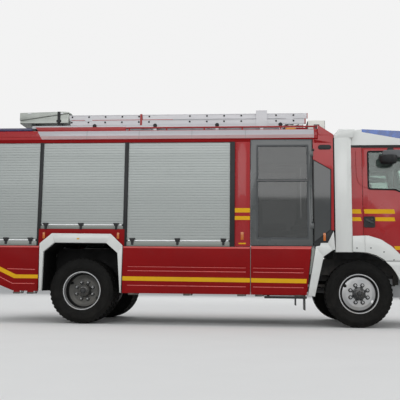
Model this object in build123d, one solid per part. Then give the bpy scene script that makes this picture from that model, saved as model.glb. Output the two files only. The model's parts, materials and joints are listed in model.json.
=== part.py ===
"""Fire engine with a tilting cab, crew cabin, equipment lockers and a light mast.

Millimetres. Inside this file x runs forward from the front axle, y to the vehicle's left
and z up from the ground. On export every piece moves forward so that the origin is the
middle of the footprint, on the ground.
"""
import os
from math import cos, hypot, radians, sin

from build123d import *

os.makedirs("parts", exist_ok=True)

# Main dimensions
WHEELBASE = 4250
FRONT_OVERHANG = 1380
OVERALL_LENGTH = 7530
BODY_HALF = 1250            # half width of the body and of the white fairings
FAIRING_STAND = 130         # the fairings stand this far outside the cab
CAB_HALF = BODY_HALF - FAIRING_STAND
BODY_REAR = -6080
BODY_FRONT = -353
TYRE_R = 506
TYRE_WIDTH = 275
TRACK_HALF = 1060           # middle of the front and outer rear tyres
TWIN_SPACING = 312
SHIFT = OVERALL_LENGTH / 2 - FRONT_OVERHANG
REAR_AXLE = -WHEELBASE
AXLE_Z = TYRE_R

# Heights
FLAP_BOTTOM = 478
WAIST = 1199                # top of the lower flaps
FLOOR_Z = 1215              # crew cabin floor surface
CORNICE = 2835              # top of the shutters
ROOF_Z = 2960
RAIL_TOP = 1050
CAB_FLOOR = 1225
SKIN = 35                   # thickness of doors and side panels
SEAT = 0.3                  # gap between pieces that are bolted together
BODY_IN = BODY_HALF - SKIN  # inner face of the body's doors and panels
ROOF_HALF = BODY_HALF - 100     # edge of the roof plate
GUTTER_Z = ROOF_Z + 82      # top of the body's upper edge
SHUTTER_Y = BODY_HALF - 18  # face of the roller shutters
CUT_IN, CUT_OUT = BODY_IN - 15, BODY_HALF + 10     # reach of cuts through the body's panels

# Joint positions
CAB_PIVOT = (1180, 1080)                    # x, z
CAB_DOOR_AXIS = (1033, CAB_HALF + 12)       # x, y
CREW_DOOR_AXIS = (-679, BODY_HALF + 12)     # x, y
FLAP_AXIS = (BODY_HALF + 6, 464)            # y, z
LID_AXIS = (-4628, ROOF_Z + 464)            # x, z
MAST_X = -515
LAMP_AXIS_Z = ROOF_Z + 340
KINGPIN_Y = TRACK_HALF - 160


def box(x0, x1, y0, y1, z0, z1):
    corners = [(x0, y0, z0), (x1, y0, z0), (x1, y1, z0), (x0, y1, z0)]
    f = Face(Wire.make_polygon(corners, close=True))
    return Solid.extrude(f, Vector(0, 0, z1 - z0))


def side_prism(points, y0, y1):
    """Prism from (x, z) points, seen from the side."""
    f = Face(Wire.make_polygon([(x, y0, z) for x, z in points], close=True))
    return Solid.extrude(f, Vector(0, y1 - y0, 0))


def front_prism(points, x0, x1):
    """Prism from (y, z) points, seen from the front."""
    f = Face(Wire.make_polygon([(x0, y, z) for y, z in points], close=True))
    return Solid.extrude(f, Vector(x1 - x0, 0, 0))


def plan_prism(points, z0, z1):
    """Prism from (x, y) points, seen from above."""
    f = Face(Wire.make_polygon([(x, y, z0) for x, y in points], close=True))
    return Solid.extrude(f, Vector(0, 0, z1 - z0))


def rod(p0, p1, r):
    a, b = Vector(*p0), Vector(*p1)
    return Solid.make_cylinder(r, (b - a).length, Plane(origin=a, z_dir=(b - a)))


def ball(centre, r):
    return Solid.make_sphere(r, Plane(centre), -90, 90, 360)


def turned(points, centre):
    """Solid of revolution about the y axis through centre, from (y offset, radius) points."""
    x, y, z = centre
    f = Face(Wire.make_polygon([(x, y + a, z + r) for a, r in points], close=True))
    return Solid.revolve(f, 360, Axis(centre, (0, 1, 0)))


def flip(shape):
    return mirror(shape, about=Plane.XZ)


def pair(shapes):
    """The shapes and their mirror images on the other side."""
    return list(shapes) + [flip(s) for s in shapes]


def save(node, *shapes):
    parts = []
    for s in shapes:
        parts += [s] if isinstance(s, Solid) else s.solids()
    parts = [Pos(SHIFT, 0, 0) * s for s in parts]
    export_step(parts[0] if len(parts) == 1 else Compound(children=parts), "parts/" + node + ".step")


def save_both(name, *left):
    save(name + "_left", *left)
    save(name + "_right", *[flip(s) for s in left])


def shrink(points, d):
    """Move every side of a polygon inwards by d."""
    n = len(points)
    after = points[1:] + points[:1]
    area = sum(p[0] * q[1] - q[0] * p[1] for p, q in zip(points, after))
    s = 1 if area > 0 else -1
    lines = []
    for i in range(n):
        (x0, z0), (x1, z1) = points[i], points[(i + 1) % n]
        length = hypot(x1 - x0, z1 - z0)
        nx, nz = -s * (z1 - z0) / length, s * (x1 - x0) / length
        lines.append((nx, nz, nx * x0 + nz * z0 + d))
    out = []
    for i in range(n):
        a, b = lines[i - 1], lines[i]
        det = a[0] * b[1] - a[1] * b[0]
        out.append(((a[2] * b[1] - a[1] * b[2]) / det, (a[0] * b[2] - a[2] * b[0]) / det))
    return out


# Chassis frame: channel rails, cross members, spring hangers, cab rests and pivots
def channel_rail(x0, x1, y_web, inward):
    t, flange = 9, 70
    z0, z1 = 790, RAIL_TOP
    pts = [(0, z0), (flange, z0), (flange, z0 + t), (t, z0 + t),
           (t, z1 - t), (flange, z1 - t), (flange, z1), (0, z1)]
    return front_prism([(y_web + inward * a, z) for a, z in pts], x0, x1)


cross_members = [-5900, -4900, -3600, -2500, -1300, 960]
bars = [box(x - 45, x + 45, -440.7, 440.7, 830, 1010) for x in cross_members]
hangers = []
SPRING = [(0, 690), (REAR_AXLE, 740)]       # axle x, half length of the top leaf
for axle_x, reach in SPRING:
    for x in (axle_x - reach - 10, axle_x + reach + 10):
        hangers += pair([box(x - 40, x + 40, 375, 445, 640.6, 789.7)])
rails = pair([channel_rail(-5950, 1080, 450, -1)])
px, pz = CAB_PIVOT
bracket_side = [(1080.3, 800), (1239.7, 800), (1239.7, 1000), (px + 30, 1000),
                (px + 30, pz + 20), (px - 30, pz + 20), (px - 30, 1000), (1080.3, 1000)]
cab_bracket = side_prism(bracket_side, 400, 440)
cab_bracket = cab_bracket.fuse(rod((px, 420, pz), (px, 498, pz), 20))
cab_rest = box(-300, -220, 385, 450, RAIL_TOP + SEAT, 1190 - SEAT)
tail_x = BODY_REAR + 20
underrun = box(tail_x, tail_x + 80, -ROOF_HALF, ROOF_HALF, 640, 740)
underrun_arm = box(tail_x + 80.3, tail_x + 109.7, 380, 450, 640, 1000)
clevis = box(tail_x - 90, tail_x - 0.3, -70, 70, 790, 870)
clevis = clevis - box(tail_x - 100, tail_x - 35, -80, 80, 812, 848)
clevis = clevis - rod((tail_x - 62, 0, 700), (tail_x - 62, 0, 900), 16)
tow_plate = box(tail_x, tail_x + 114.7, -160, 160, 760, 900)
save("chassis_frame", *rails, *bars, *hangers, *pair([cab_bracket, cab_rest, underrun_arm]),
     underrun, clevis, tow_plate)


# Axles with their leaf springs
def leaf_pack(x, reach, z):
    pack = None
    for cut in (290, 150, 0):
        leaf = box(x - reach + cut, x + reach - cut, 375, 445, z, z + 18)
        pack = leaf if pack is None else pack.fuse(leaf)
        z += 18
    return pack


BEAM_HALF = KINGPIN_Y - 60
front_beam = box(-55, 55, -BEAM_HALF, BEAM_HALF, AXLE_Z - 55, AXLE_Z + 45).fuse(ball((0, 200, AXLE_Z), 165))
for side in (-1, 1):
    y = side * KINGPIN_Y
    front_beam = front_beam.fuse(rod((0, y, AXLE_Z - 60), (0, y, AXLE_Z + 60), 60))
    front_beam = front_beam.fuse(rod((0, y, AXLE_Z - 115), (0, y, AXLE_Z + 115), 24))
front_beam = front_beam.fuse(*pair([box(-70, 70, 375, 445, AXLE_Z + 30, 586)]))
save("front_axle", front_beam, *pair([leaf_pack(0, 690, 586.3)]))

rear_beam = rod((REAR_AXLE, -600, AXLE_Z), (REAR_AXLE, 600, AXLE_Z), 75)
rear_beam = rear_beam.fuse(ball((REAR_AXLE, 0, AXLE_Z), 190))
HALF_SHAFT = TRACK_HALF - 10.3
rear_beam = rear_beam.fuse(rod((REAR_AXLE, -HALF_SHAFT, AXLE_Z), (REAR_AXLE, HALF_SHAFT, AXLE_Z), 50))
rear_beam = rear_beam.fuse(*pair([box(REAR_AXLE - 80, REAR_AXLE + 80, 375, 445, AXLE_Z + 40, 586)]))
save("rear_axle", rear_beam, *pair([leaf_pack(REAR_AXLE, 740, 586.3)]))

# Engine block, gearbox, transfer case, mounts and shafts
drive = [
    box(-350, 720, -330, 330, 740, 1330),
    box(-900, -350.3, -190, 190, 700, 1000),
    box(-2150, -1800, -200, 260, 560, 900),
    box(-2454.7, -2150.3, -100, 100, 832, 890),
    rod((-900.3, 0, 765), (-1799.7, 0, 745), 45),
    rod((-2150.3, 0, 700), (REAR_AXLE + 190.3, 0, 540), 50),
    rod((-1799.7, 200, 620), (-165.4, 200, AXLE_Z + 14), 42)]
save("powertrain", *drive, *pair([box(100, 200, 330.3, 440.7, 860, 900)]))

# Lower lockers behind the flaps, as flat sheets, with the flap hinge rods
LOCKER_IN, LOCKER_OUT, SHEET, LOCKER_TOP = 520, BODY_HALF - 42, 12, 1159.7
locker_table = [  # rear x, front x, bottom z at the rear end, x where the bottom turns up, bottom z
    (-6045, -4945, 800, -5327, 510),
    (-3590, -1645, 488, -3590, 488),
    (-1622, -800, 488, -1622, 488)]
hinge_table = {  # rear ends of the hinge barrels
    "flap_rear": (-5310, -5090), "flap_long": (-3500, -2650, -1830), "flap_crew": (-1560, -960)}
g = SEAT
lockers = []
for (x0, x1, z_rear, x_turn, zb), starts in zip(locker_table, hinge_table.values()):
    xa, xb = x0 + SHEET + g, x1 - SHEET - g
    lockers.append(box(max(x_turn + g / 2, xa), xb, LOCKER_IN, LOCKER_OUT, zb, zb + SHEET))
    z_low, z_high = zb + SHEET + g, LOCKER_TOP - SHEET - g
    inner = [(xa, z_low), (xb, z_low), (xb, z_high), (xa, z_high)]
    if x_turn > x0:
        ramp = [(xa, z_rear), (x_turn - g / 2, zb), (x_turn - g / 2, zb + SHEET), (xa, z_rear + SHEET)]
        lockers.append(side_prism(ramp, LOCKER_IN, LOCKER_OUT))
        inner = [(xa, z_rear + SHEET + g), (x_turn, zb + SHEET + g)] + inner[1:]
    lockers.append(box(x0, x0 + SHEET, LOCKER_IN, LOCKER_OUT, z_rear, LOCKER_TOP))
    lockers.append(box(x1 - SHEET, x1, LOCKER_IN, LOCKER_OUT, zb, LOCKER_TOP))
    lockers.append(box(xa, xb, LOCKER_IN, LOCKER_OUT, LOCKER_TOP - SHEET, LOCKER_TOP))
    lockers.append(side_prism(inner, LOCKER_IN, LOCKER_IN + SHEET))
    ay, az = FLAP_AXIS
    for x in starts:
        bracket = [(ay - 106, zb - g), (ay - 106, zb - 12), (ay - 74, az - 9), (ay + 8, az - 9),
                   (ay + 8, az + 7), (ay - 52, az + 7), (ay - 52, zb - g)]
        pin = rod((x, ay, az), (x + 135, ay, az), 7)
        lockers.append(front_prism(bracket, x + 105, x + 135).fuse(pin))
# Rear wheel wells: five flat sheets over each pair of tyres, an inner wall and a hanger
well = [(-4869, 505), (-4861, 1104), (-4686, 1248), (-3862, 1245), (-3683, 1091), (-3634, 482)]
well_out = shrink(well, -8)
for i in range(5):
    quad = [well[i], well[i + 1], well_out[i + 1], well_out[i]]
    lockers.append(side_prism(shrink(quad, g / 2), 540, BODY_HALF - 51))
lockers.append(box(-4855, -3690, 524, 540 - g, 700, LOCKER_TOP))
lockers.append(box(-4330, -4230, 600, ROOF_HALF - 50, 1255, 1429.7))
save("lower_lockers", *pair(lockers))

# Body structure: floor, bulkheads, roof plates and the walkway on the roof
WALKWAY = 5
roof_plate = box(-6051.7, -383.3, g - ROOF_HALF, ROOF_HALF - g, ROOF_Z - 30, ROOF_Z)
roof_plate = roof_plate - rod((MAST_X, 0, ROOF_Z - 50), (MAST_X, 0, ROOF_Z + 50), 82)
BULK_TOP = ROOF_Z - 30.3
FLOOR_HALF = BODY_IN - 10


def bulkhead(x0, x1, z0):
    right = [(BODY_IN - g, z0), (BODY_IN - g, ROOF_Z - 80.2), (BODY_IN - 34, BULK_TOP)]
    return front_prism(right + [(-y, z) for y, z in reversed(right)], x0, x1)


structure = [
    roof_plate,
    box(-6051.7, -4935, -FLOOR_HALF, FLOOR_HALF, 1160, 1190),
    box(-4934.7, -3600.3, -535, 535, 1160, 1190),
    box(-3600, -701, -FLOOR_HALF, FLOOR_HALF, 1160, FLOOR_Z),
    bulkhead(-1670, -1640, FLOOR_Z + g),
    bulkhead(-4960, -4940, 1190.3),
    box(-383, BODY_FRONT, g - BODY_IN, BODY_IN - g, 1466.3, BULK_TOP),
    side_prism([(-700.7, 1160), (-700.7, 1200), (-386, 1466), (-358, 1466)], -FLOOR_HALF, FLOOR_HALF),
    box(-383, BODY_FRONT, g - ROOF_HALF, ROOF_HALF - g, ROOF_Z - 30, ROOF_Z + 8),
    box(-5600, -900, 60, ROOF_HALF - 190, ROOF_Z + g, ROOF_Z + g + WALKWAY)]
for x in (-6000, -3450, -1650):
    structure.append(box(x - 40, x + 40, -440, 440, RAIL_TOP + g, 1159.7))
structure += pair([box(-4934, -3590, 537, BODY_IN - g, 1430, 1458)])
save("body_structure", *structure)

# Red body panels
arch_notch = [(-4923.3, 1190), (-4923.3, 1232), (-4730, 1393.3), (-3796, 1387.3), (-3606.7, 1209),
              (-3606.7, 1190)]
arch_panel = box(-4945, -3580, BODY_IN, BODY_HALF, 1202, 1463)
arch_panel = arch_panel - side_prism(arch_notch, CUT_IN, CUT_OUT)
corner = side_prism([(-672, 2868), (-672, 2552), (-396, 2392), (-409, 1462), (BODY_FRONT, 1452),
                     (BODY_FRONT, ROOF_Z - 29), (-593, ROOF_Z - 29), (-593, 2868)], BODY_IN, BODY_HALF)
EDGE_Z = ROOF_Z - 28
PANEL_TOP = CORNICE + 37
cornice_table = [  # section of each length: the panel over the shutters, the sloped edge, the gutter
    [(BODY_IN, CORNICE + g), (BODY_HALF, CORNICE + g), (BODY_HALF, PANEL_TOP), (BODY_IN, PANEL_TOP)],
    [(BODY_IN, PANEL_TOP + g), (BODY_HALF, PANEL_TOP + g), (BODY_HALF, CORNICE + 54),
     (BODY_HALF - 13, CORNICE + 58), (BODY_HALF - 19.5, EDGE_Z), (BODY_HALF - 70, EDGE_Z),
     (BODY_IN, CORNICE + 45)],
    [(ROOF_HALF, EDGE_Z + g), (BODY_HALF - 19.6, EDGE_Z + g), (BODY_HALF - 36, GUTTER_Z - 12),
     (BODY_HALF - 50, GUTTER_Z), (ROOF_HALF, GUTTER_Z)]]
cornice_ends = (-1632, -593.3, -593.3)
cornice = [front_prism(section, BODY_REAR, x1) for section, x1 in zip(cornice_table, cornice_ends)]
roof_corner = side_prism([(-593, EDGE_Z - 0.7), (-593, ROOF_Z + 137), (-362, ROOF_Z - 15),
                          (-358, EDGE_Z - 0.7)], ROOF_HALF, BODY_HALF)
panels = [
    arch_panel, corner, *cornice, roof_corner,
    box(-1871.7, -1636, BODY_IN, BODY_HALF, 1202, CORNICE),
    box(BODY_REAR + 28.3, -6010, BODY_IN, BODY_HALF, 1202, CORNICE),
    box(BODY_REAR, BODY_REAR + 28, 700, BODY_HALF, 1202, CORNICE)]
rear_panels = [box(BODY_REAR, BODY_REAR + 28, g - ROOF_HALF, ROOF_HALF - g, CORNICE + g, GUTTER_Z),
               box(BODY_REAR, BODY_REAR + 28, -LOCKER_OUT, LOCKER_OUT, 1060, 1201.7)]
save("body_panels", *pair(panels), *rear_panels)


# Roller shutters: a ribbed curtain and a thicker bottom rail per opening
def curtain(z0, z1, y_face):
    """Slatted (depth, z) profile."""
    pitch = 38
    pts = [(y_face - 8, z0)]
    z = z0
    for _ in range(int((z1 - z) / pitch)):
        pts += [(y_face, z), (y_face, z + pitch - 7), (y_face - 4, z + pitch - 4)]
        z += pitch
    return pts + [(y_face, z), (y_face, z1), (y_face - 8, z1)]


def bottom_rail(z0, y_face):
    y1 = y_face + RAIL_STAND
    return [(y_face - 8, z0), (y1, z0), (y1, z0 + RAIL_HEIGHT - 2), (y_face, z0 + RAIL_HEIGHT),
            (y_face - 8, z0 + RAIL_HEIGHT)]


RAIL_STAND, RAIL_HEIGHT = 10, 40
shutter_table = [  # rear x, front x, bottom z
    (-6009.7, -4973.3, 1268), (-4921.7, -3606.3, 1519), (-3546.7, -1947.3, 1268)]
shutters = []
for x0, x1, z0 in shutter_table:
    shutters.append(front_prism(curtain(z0 + RAIL_HEIGHT + g, CORNICE, SHUTTER_Y), x0, x1))
    shutters.append(front_prism(bottom_rail(z0, SHUTTER_Y), x0, x1))
REAR_SHUTTER_X = -BODY_REAR - 6
rear_sections = [curtain(1202 + RAIL_HEIGHT + g, CORNICE, REAR_SHUTTER_X), bottom_rail(1202, REAR_SHUTTER_X)]
rear_shutter = [Rot(0, 0, 90) * front_prism(section, -699.7, 699.7) for section in rear_sections]
save("roller_shutters", *pair(shutters), *rear_shutter)

# Black posts, sills, latches, grip, ladder rollers, crew door hinge pins
POST_OUT, SILL_OUT = BODY_HALF + 6, BODY_HALF - 3
post_1, post_2, post_3 = [box(x0, x1, BODY_IN, POST_OUT, WAIST + 4, CORNICE)
                          for x0, x1 in [(-4973, -4922), (-3606, -3547), (-1947, -1872)]]
posts = [post_1 - box(-4945.3, -4900, CUT_IN, CUT_OUT, 1190, 1463.3),
         post_2 - box(-3620, -3579.7, CUT_IN, CUT_OUT, 1190, 1463.3), post_3]
sills = [box(-6009.7, -4973.3, BODY_IN, SILL_OUT, 1202, 1267.7),
         box(-4921.7, -3606.3, BODY_IN, SILL_OUT, 1463.3, 1518.7),
         box(-3546.7, -1947.3, BODY_IN, SILL_OUT, 1202, 1267.7)]
latch_x = {1274: (-5470, -5074, -3457, -2752, -2043), 1524: (-4838, -4276, -3715)}
latch_y = SHUTTER_Y + RAIL_STAND + g
latches = []
for z, xs in latch_x.items():
    section = [(latch_y, z), (latch_y + 20, z + 2), (latch_y + 24, z + 26), (latch_y, z + 30)]
    latches += [front_prism(section, x - 34, x + 34) for x in xs]
grip = Pos(-492, BODY_HALF + 4 + g, 2740) * Rot(90, 0, 0) * extrude(SlotOverall(200, 72), amount=4, both=True)
# Black plates under the corner glass, down to the mudguard strut
glass_low, glass_high = (-672, 1259.6), (-409.3, 1461.4)
corner_plates = [side_prism(shrink(points, g / 2), FLOOR_HALF + g, BODY_HALF) for points in [
    [glass_low, glass_high, (-376, 1455), (-372, 1446), (-461, 1267), (-569, 1264)],
    [glass_low, (-569, 1264), (-580, 1220), (-639, 1213), (-672, 1222)]]]
hx, hy = CREW_DOOR_AXIS
CREW_HINGES = (1480, 2600)
crew_pins = [box(hx, hx + 26, BODY_HALF + g, hy + 8, z + 85, z + 110).fuse(
    rod((hx, hy, z), (hx, hy, z + 110), 5)) for z in CREW_HINGES]
LADDER_Y = 565 - BODY_HALF
rollers = []
BEAM_Z = (ROOF_Z + 190, ROOF_Z + 239.7)      # ladder beams, under the ladder and the roof box
BEAM_REACH = 217
BX0, BX1, BY0, BY1 = -5457, -4640, 350 - BODY_HALF, -130
BOX_BASE = BEAM_Z[1] + 41.3
for x in (-4192, -3188, -2172, -1151):
    rollers.append(box(x - 25, x + 25, LADDER_Y - 230, LADDER_Y + 230, ROOF_Z + g, BEAM_Z[0] - g))
    reach = BEAM_REACH - 10 - g
    rollers.append(rod((x, LADDER_Y - reach, ROOF_Z + 215), (x, LADDER_Y + reach, ROOF_Z + 215), 25))
    for side in (-1, 1):
        y = LADDER_Y + side * (BEAM_REACH + g)
        rollers.append(rod((x, y, ROOF_Z + 215), (x, y + side * 8, ROOF_Z + 215), 25))
for side in (-1, 1):
    y = LADDER_Y + side * (BEAM_REACH - 5)
    rollers.append(box(-5246, -1110, y - 5, y + 5, *BEAM_Z))
rollers.append(box(-5246, -4730, BY1 - 30, BY1 - 20, *BEAM_Z))
for x in (-5221, -4780):
    rollers.append(box(x - 40, x + 40, BY0 - 15, BY1, ROOF_Z + g, BEAM_Z[0] - g))
    rollers.append(box(x - 40, x + 40, BY0 + 2, BY1 - 2, BEAM_Z[1] + g, BOX_BASE - g))
fittings = posts + sills + latches + [grip.solid()] + crew_pins + corner_plates
save("body_fittings", *pair(fittings), *rollers)

# Light strip on the sloped upper side, rear corner beacons
strip_low, strip_high = CORNICE + 58.2, GUTTER_Z - 12
strip = front_prism([(BODY_HALF - 12.6, strip_low), (BODY_HALF - 5, strip_low + 0.4),
                     (BODY_HALF - 28, strip_high), (BODY_HALF - 35.6, strip_high - 0.4)], -5054, -651)
strip = strip - side_prism([(-5060, strip_low - 10), (-4950, strip_low - 10), (-5048, strip_high + 10),
                            (-5060, strip_high + 10)], ROOF_HALF, CUT_OUT)
save("light_strips", *pair([strip]))
beacon_z = (GUTTER_Z + g, GUTTER_Z + 50)
save("rear_beacons", *pair([box(BODY_REAR + 4, -5145, ROOF_HALF, BODY_HALF - 44, *beacon_z),
                            box(BODY_REAR + 4, BODY_REAR + 60, 900, ROOF_HALF - g, *beacon_z)]))

# Roof gallery: solid panel at the rear, then a tube rail on short posts
RAIL_Y = ROOF_HALF + 16
RAIL_Z = GUTTER_Z + 48
rail_panel = side_prism([(-5040, GUTTER_Z + g), (-3620, GUTTER_Z + g), (-3620, GUTTER_Z + 62),
                         (-5097, GUTTER_Z + 67)], RAIL_Y - 15, RAIL_Y + 15)
gallery = [rail_panel, rod((-3619.7, RAIL_Y, RAIL_Z), (-600, RAIL_Y, RAIL_Z), 13)]
for x in (-3560, -2960, -2360, -1760, -1160, -640):
    gallery.append(box(x - 12, x + 12, RAIL_Y - 8, RAIL_Y + 8, GUTTER_Z + g, RAIL_Z - 13 - g))
save("roof_gallery", *pair(gallery))

# Two stacked ladder sections lying on the rollers
LADDER_BASE = ROOF_Z + 240.3
STILE, STILE_HEIGHT, RUNG_R = 26, 84, 13
ladder = []
sections = [(LADDER_BASE, 215, -4600, -760), (LADDER_BASE + 97.7, 190, -4625, -720)]
for z0, half_width, x0, x1 in sections:
    inner = half_width - STILE
    for side in (-1, 1):
        ys = sorted([LADDER_Y + side * inner, LADDER_Y + side * half_width])
        ladder.append(box(x0, x1, *ys, z0, z0 + STILE_HEIGHT))
    for i in range(14):
        x = -4580 + 280 * i
        reach = inner - g
        ladder.append(rod((x, LADDER_Y - reach, z0 + 52), (x, LADDER_Y + reach, z0 + 52), RUNG_R))
spacer_z = (LADDER_BASE + STILE_HEIGHT + g, LADDER_BASE + 97.7 - g)
for x in (-4300, -1000):
    for side in (-1, 1):
        y = LADDER_Y + side * 200
        ladder.append(box(x - 60, x + 60, y - 12, y + 12, *spacer_z))
lock_y = LADDER_Y - 215 - 2.3 - 26
ladder.append(box(-1543, -1365, lock_y, lock_y + 26, ROOF_Z + 190, ROOF_Z + 460))
ladder.append(box(-1480, -1430, lock_y, lock_y + 26, ROOF_Z + g, ROOF_Z + 190 - g))
save("ladder", *ladder)

# Aluminium roof box with a wedge-shaped lid hinged at its front edge
BOX_FRONT, BOX_REAR = ROOF_Z + 448, ROOF_Z + 330      # height of the walls at the front and the rear
box_side = [(BX0, BOX_BASE), (BX1, BOX_BASE), (BX1, BOX_FRONT), (BX0, BOX_REAR)]
t = 14
lx, lz = LID_AXIS
lid_pins = []
LID_HINGES = (BY0 + 80, BY0 + 560)
for y in LID_HINGES:
    pin_side = [(BX1 + g, lz - 74), (lx + 6, lz - 74), (lx + 6, lz), (lx - 6, lz), (lx - 6, lz - 26),
                (BX1 + g, lz - 32)]
    pin = side_prism(pin_side, y + 85, y + 115)
    lid_pins.append(pin.fuse(rod((lx, y, lz), (lx, y + 115, lz), 6)))
save("roof_box",
     side_prism(box_side, BY0, BY0 + t), side_prism(box_side, BY1 - t, BY1),
     box(BX0 + t + g, BX1 - t - g, BY0 + t + g, BY1 - t - g, BOX_BASE, BOX_BASE + t),
     box(BX0, BX0 + t, BY0 + t + g, BY1 - t - g, BOX_BASE, BOX_REAR),
     box(BX1 - t, BX1, BY0 + t + g, BY1 - t - g, BOX_BASE, BOX_FRONT - 4), *lid_pins)
lid_side = [(BX0 - 6, BOX_REAR + 7), (BX1 + 6, BOX_FRONT + 7), (BX1 + 6, lz + 8), (BX1 - 80, lz + 16),
            (BX0 - 6, lz + 1)]
lid_hollow = [(BX0 + 8, BOX_REAR - 10), (BX1 - 8, BOX_FRONT - 10), (BX1 - 60, lz - 5), (BX1 - 100, lz),
              (BX0 + 8, lz - 15)]
lid = side_prism(lid_side, BY0 - 6, BY1 + 6) - side_prism(lid_hollow, BY0 + 8, BY1 - 8)
for y in LID_HINGES:
    lid = lid - box(lx - 30, lx + 30, y + 80, y + 120, lz - 124, lz + 36)
    lid = lid.fuse(rod((lx, y, lz), (lx, y + 78, lz), 11)) - rod((lx, y - 5, lz), (lx, y + 90, lz), 6.05)
save("roof_box_lid", lid)

# Light mast: base tube, two sliding stages, turning yoke, tilting lamp block
def upright(z0, z1, r):
    return rod((MAST_X, 0, z0), (MAST_X, 0, z1), r)


MAST_TOP = ROOF_Z + 105         # top of the inner stage, which carries the yoke
YOKE_Z = MAST_TOP + 20
mast_tube = upright(FLOOR_Z + 262, ROOF_Z + 40, 80).fuse(upright(ROOF_Z + g, ROOF_Z + 20, 125))
save("mast_base", mast_tube - upright(1491, MAST_TOP, 71))
save("mast_stage_1", upright(1491.3, ROOF_Z + 50, 70.9) - upright(1512, MAST_TOP, 59))
save("mast_stage_2", upright(1512.3, MAST_TOP, 58.9))
yoke = box(MAST_X - 70, MAST_X + 70, -298, 298, YOKE_Z, YOKE_Z + 33).fuse(upright(MAST_TOP + g, YOKE_Z, 75))
for side in (-1, 1):
    y = side * 291
    yoke = yoke.fuse(box(MAST_X - 45, MAST_X + 45, y - 7, y + 7, YOKE_Z + 33, LAMP_AXIS_Z + 35))
save("mast_head", yoke)
LAMP_Z = (LAMP_AXIS_Z - 64, LAMP_AXIS_Z + 108)
lamp_block = box(MAST_X - 140, MAST_X + 136, -278, -4, *LAMP_Z)
lamp_block = lamp_block.fuse(box(MAST_X - 140, MAST_X + 136, 4, 278, *LAMP_Z))
lamp_block = lamp_block.fuse(box(MAST_X - 30, MAST_X + 30, -4, 4, LAMP_AXIS_Z - 40, LAMP_AXIS_Z + 40))
lamp_pin = rod((MAST_X, -283.7, LAMP_AXIS_Z), (MAST_X, 283.7, LAMP_AXIS_Z), 22)
save("mast_lamps", lamp_block.fuse(lamp_pin))

# White rear arch trim in mitred bands, and the bent mudguard strut with its stay
arch_outer = [(-4910, 504), (-4923, 1232), (-4730, 1393), (-3796, 1387), (-3607, 1209), (-3617, 483)]
trims = []
for i in range(5):
    quad = [arch_outer[i], arch_outer[i + 1], well[i + 1], well[i]]
    trims.append(side_prism(shrink(quad, g / 2), BODY_HALF - 50.7, BODY_HALF + 12))
strut_table = [
    [(-372, 1446), (-461, 1267), (-388, 1157), (-352, 1166)],
    [(-461, 1267), (-569, 1264), (-580, 1220), (-639, 1213), (-527, 1059), (-388, 1157)],
    [(-639, 1213), (-768, 467), (-665, 460), (-527, 1059)]]
strut = [side_prism(shrink(piece, g / 2), BODY_HALF - 120, BODY_HALF + 6) for piece in strut_table]
strut[2] = strut[2].fuse(box(-799.7, -700, BODY_HALF - 115, BODY_HALF - 75, 600, 640))
save("arch_trims", *pair(trims + strut))

# Dark corner glass between crew door and cab
pane_outline = [(-672, 2551.6), (-396.3, 2391.6), (-409.3, 1462), (-672, 1260)]
save("corner_glass", *pair([side_prism(pane_outline, BODY_HALF - 24, BODY_HALF)]))

# Crew seats: one bench facing forwards, two seats facing back
bench = BODY_HALF - 250
seats = [box(-1600, -1130, -bench, bench, 1420, 1560), box(-1639.7, -1480, -bench, bench, 1560.3, 2250),
         box(-1560, -1300, 40 - bench, bench - 40, FLOOR_Z + g, 1419.7)]
for side in (-1, 1):
    y0, y1 = side * 620 - 240, side * 620 + 240
    seats += [box(-860, -480, y0, y1, 1560, 1660), box(-500, -383.3, y0, y1, 1660.3, 2300)]
save("crew_seats", *seats)

# Side lamps, rear lamps, headlamps
lamp_table = [  # x, z, half width, half height
    (-1756, 1364, 22, 60), (-4858, 1358, 18, 48), (-3679, 1358, 18, 48), (-511, 1355, 18, 60)]
y = BODY_HALF + g
lamps = [box(x - w, x + w, y, y + 16, z - h, z + h) for x, z, w, h in lamp_table]
HEADLAMP = (BODY_HALF - 490, BODY_HALF - 170)
lamps += [box(BODY_REAR - 22, BODY_REAR - g, BODY_HALF - 350, BODY_HALF - 50, 1080, 1180),
          box(1338.3, 1372, *HEADLAMP, 700, 850)]
save("lamps", *pair(lamps))

# Front bumper in three pieces, with step wells behind its corners
BUMPER_CORE = BODY_HALF - 550
bumper_end = plan_prism([(1180, BUMPER_CORE + g), (1380, BUMPER_CORE + g), (1380, BODY_HALF - 170),
                         (1330, BODY_HALF - 70), (1250, BODY_HALF - 15), (1180, BODY_HALF - 5)], 580, 1000)
bumper_end = bumper_end - box(1338, 1400, HEADLAMP[0] - 5, HEADLAMP[1] + 5, 695, 855)
step_outline = [(391, 995), (1179.7, 995), (1179.7, 420), (640, 420), (610, 640), (591, 720), (540, 826),
                (479, 911)]
step_panel = side_prism(step_outline, BODY_IN, BODY_HALF - 5)
for z in (470, 740):
    step_panel = step_panel - box(740, 1130, CUT_IN, CUT_OUT, z, z + 200)
step_in = BODY_HALF - 390
step_walls = [box(662, 1179.7, step_in, BODY_IN - g, 420, 450),
              box(740, 1179.7, step_in, BODY_HALF - 150, 700, 730),
              box(690, 1179.7, step_in - 30, step_in - g, 420, 990)]
bumper_middle = box(1240, 1380, -BUMPER_CORE, BUMPER_CORE, 580, 1000)
save("front_bumper", bumper_middle, *pair([bumper_end, step_panel] + step_walls))

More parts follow.
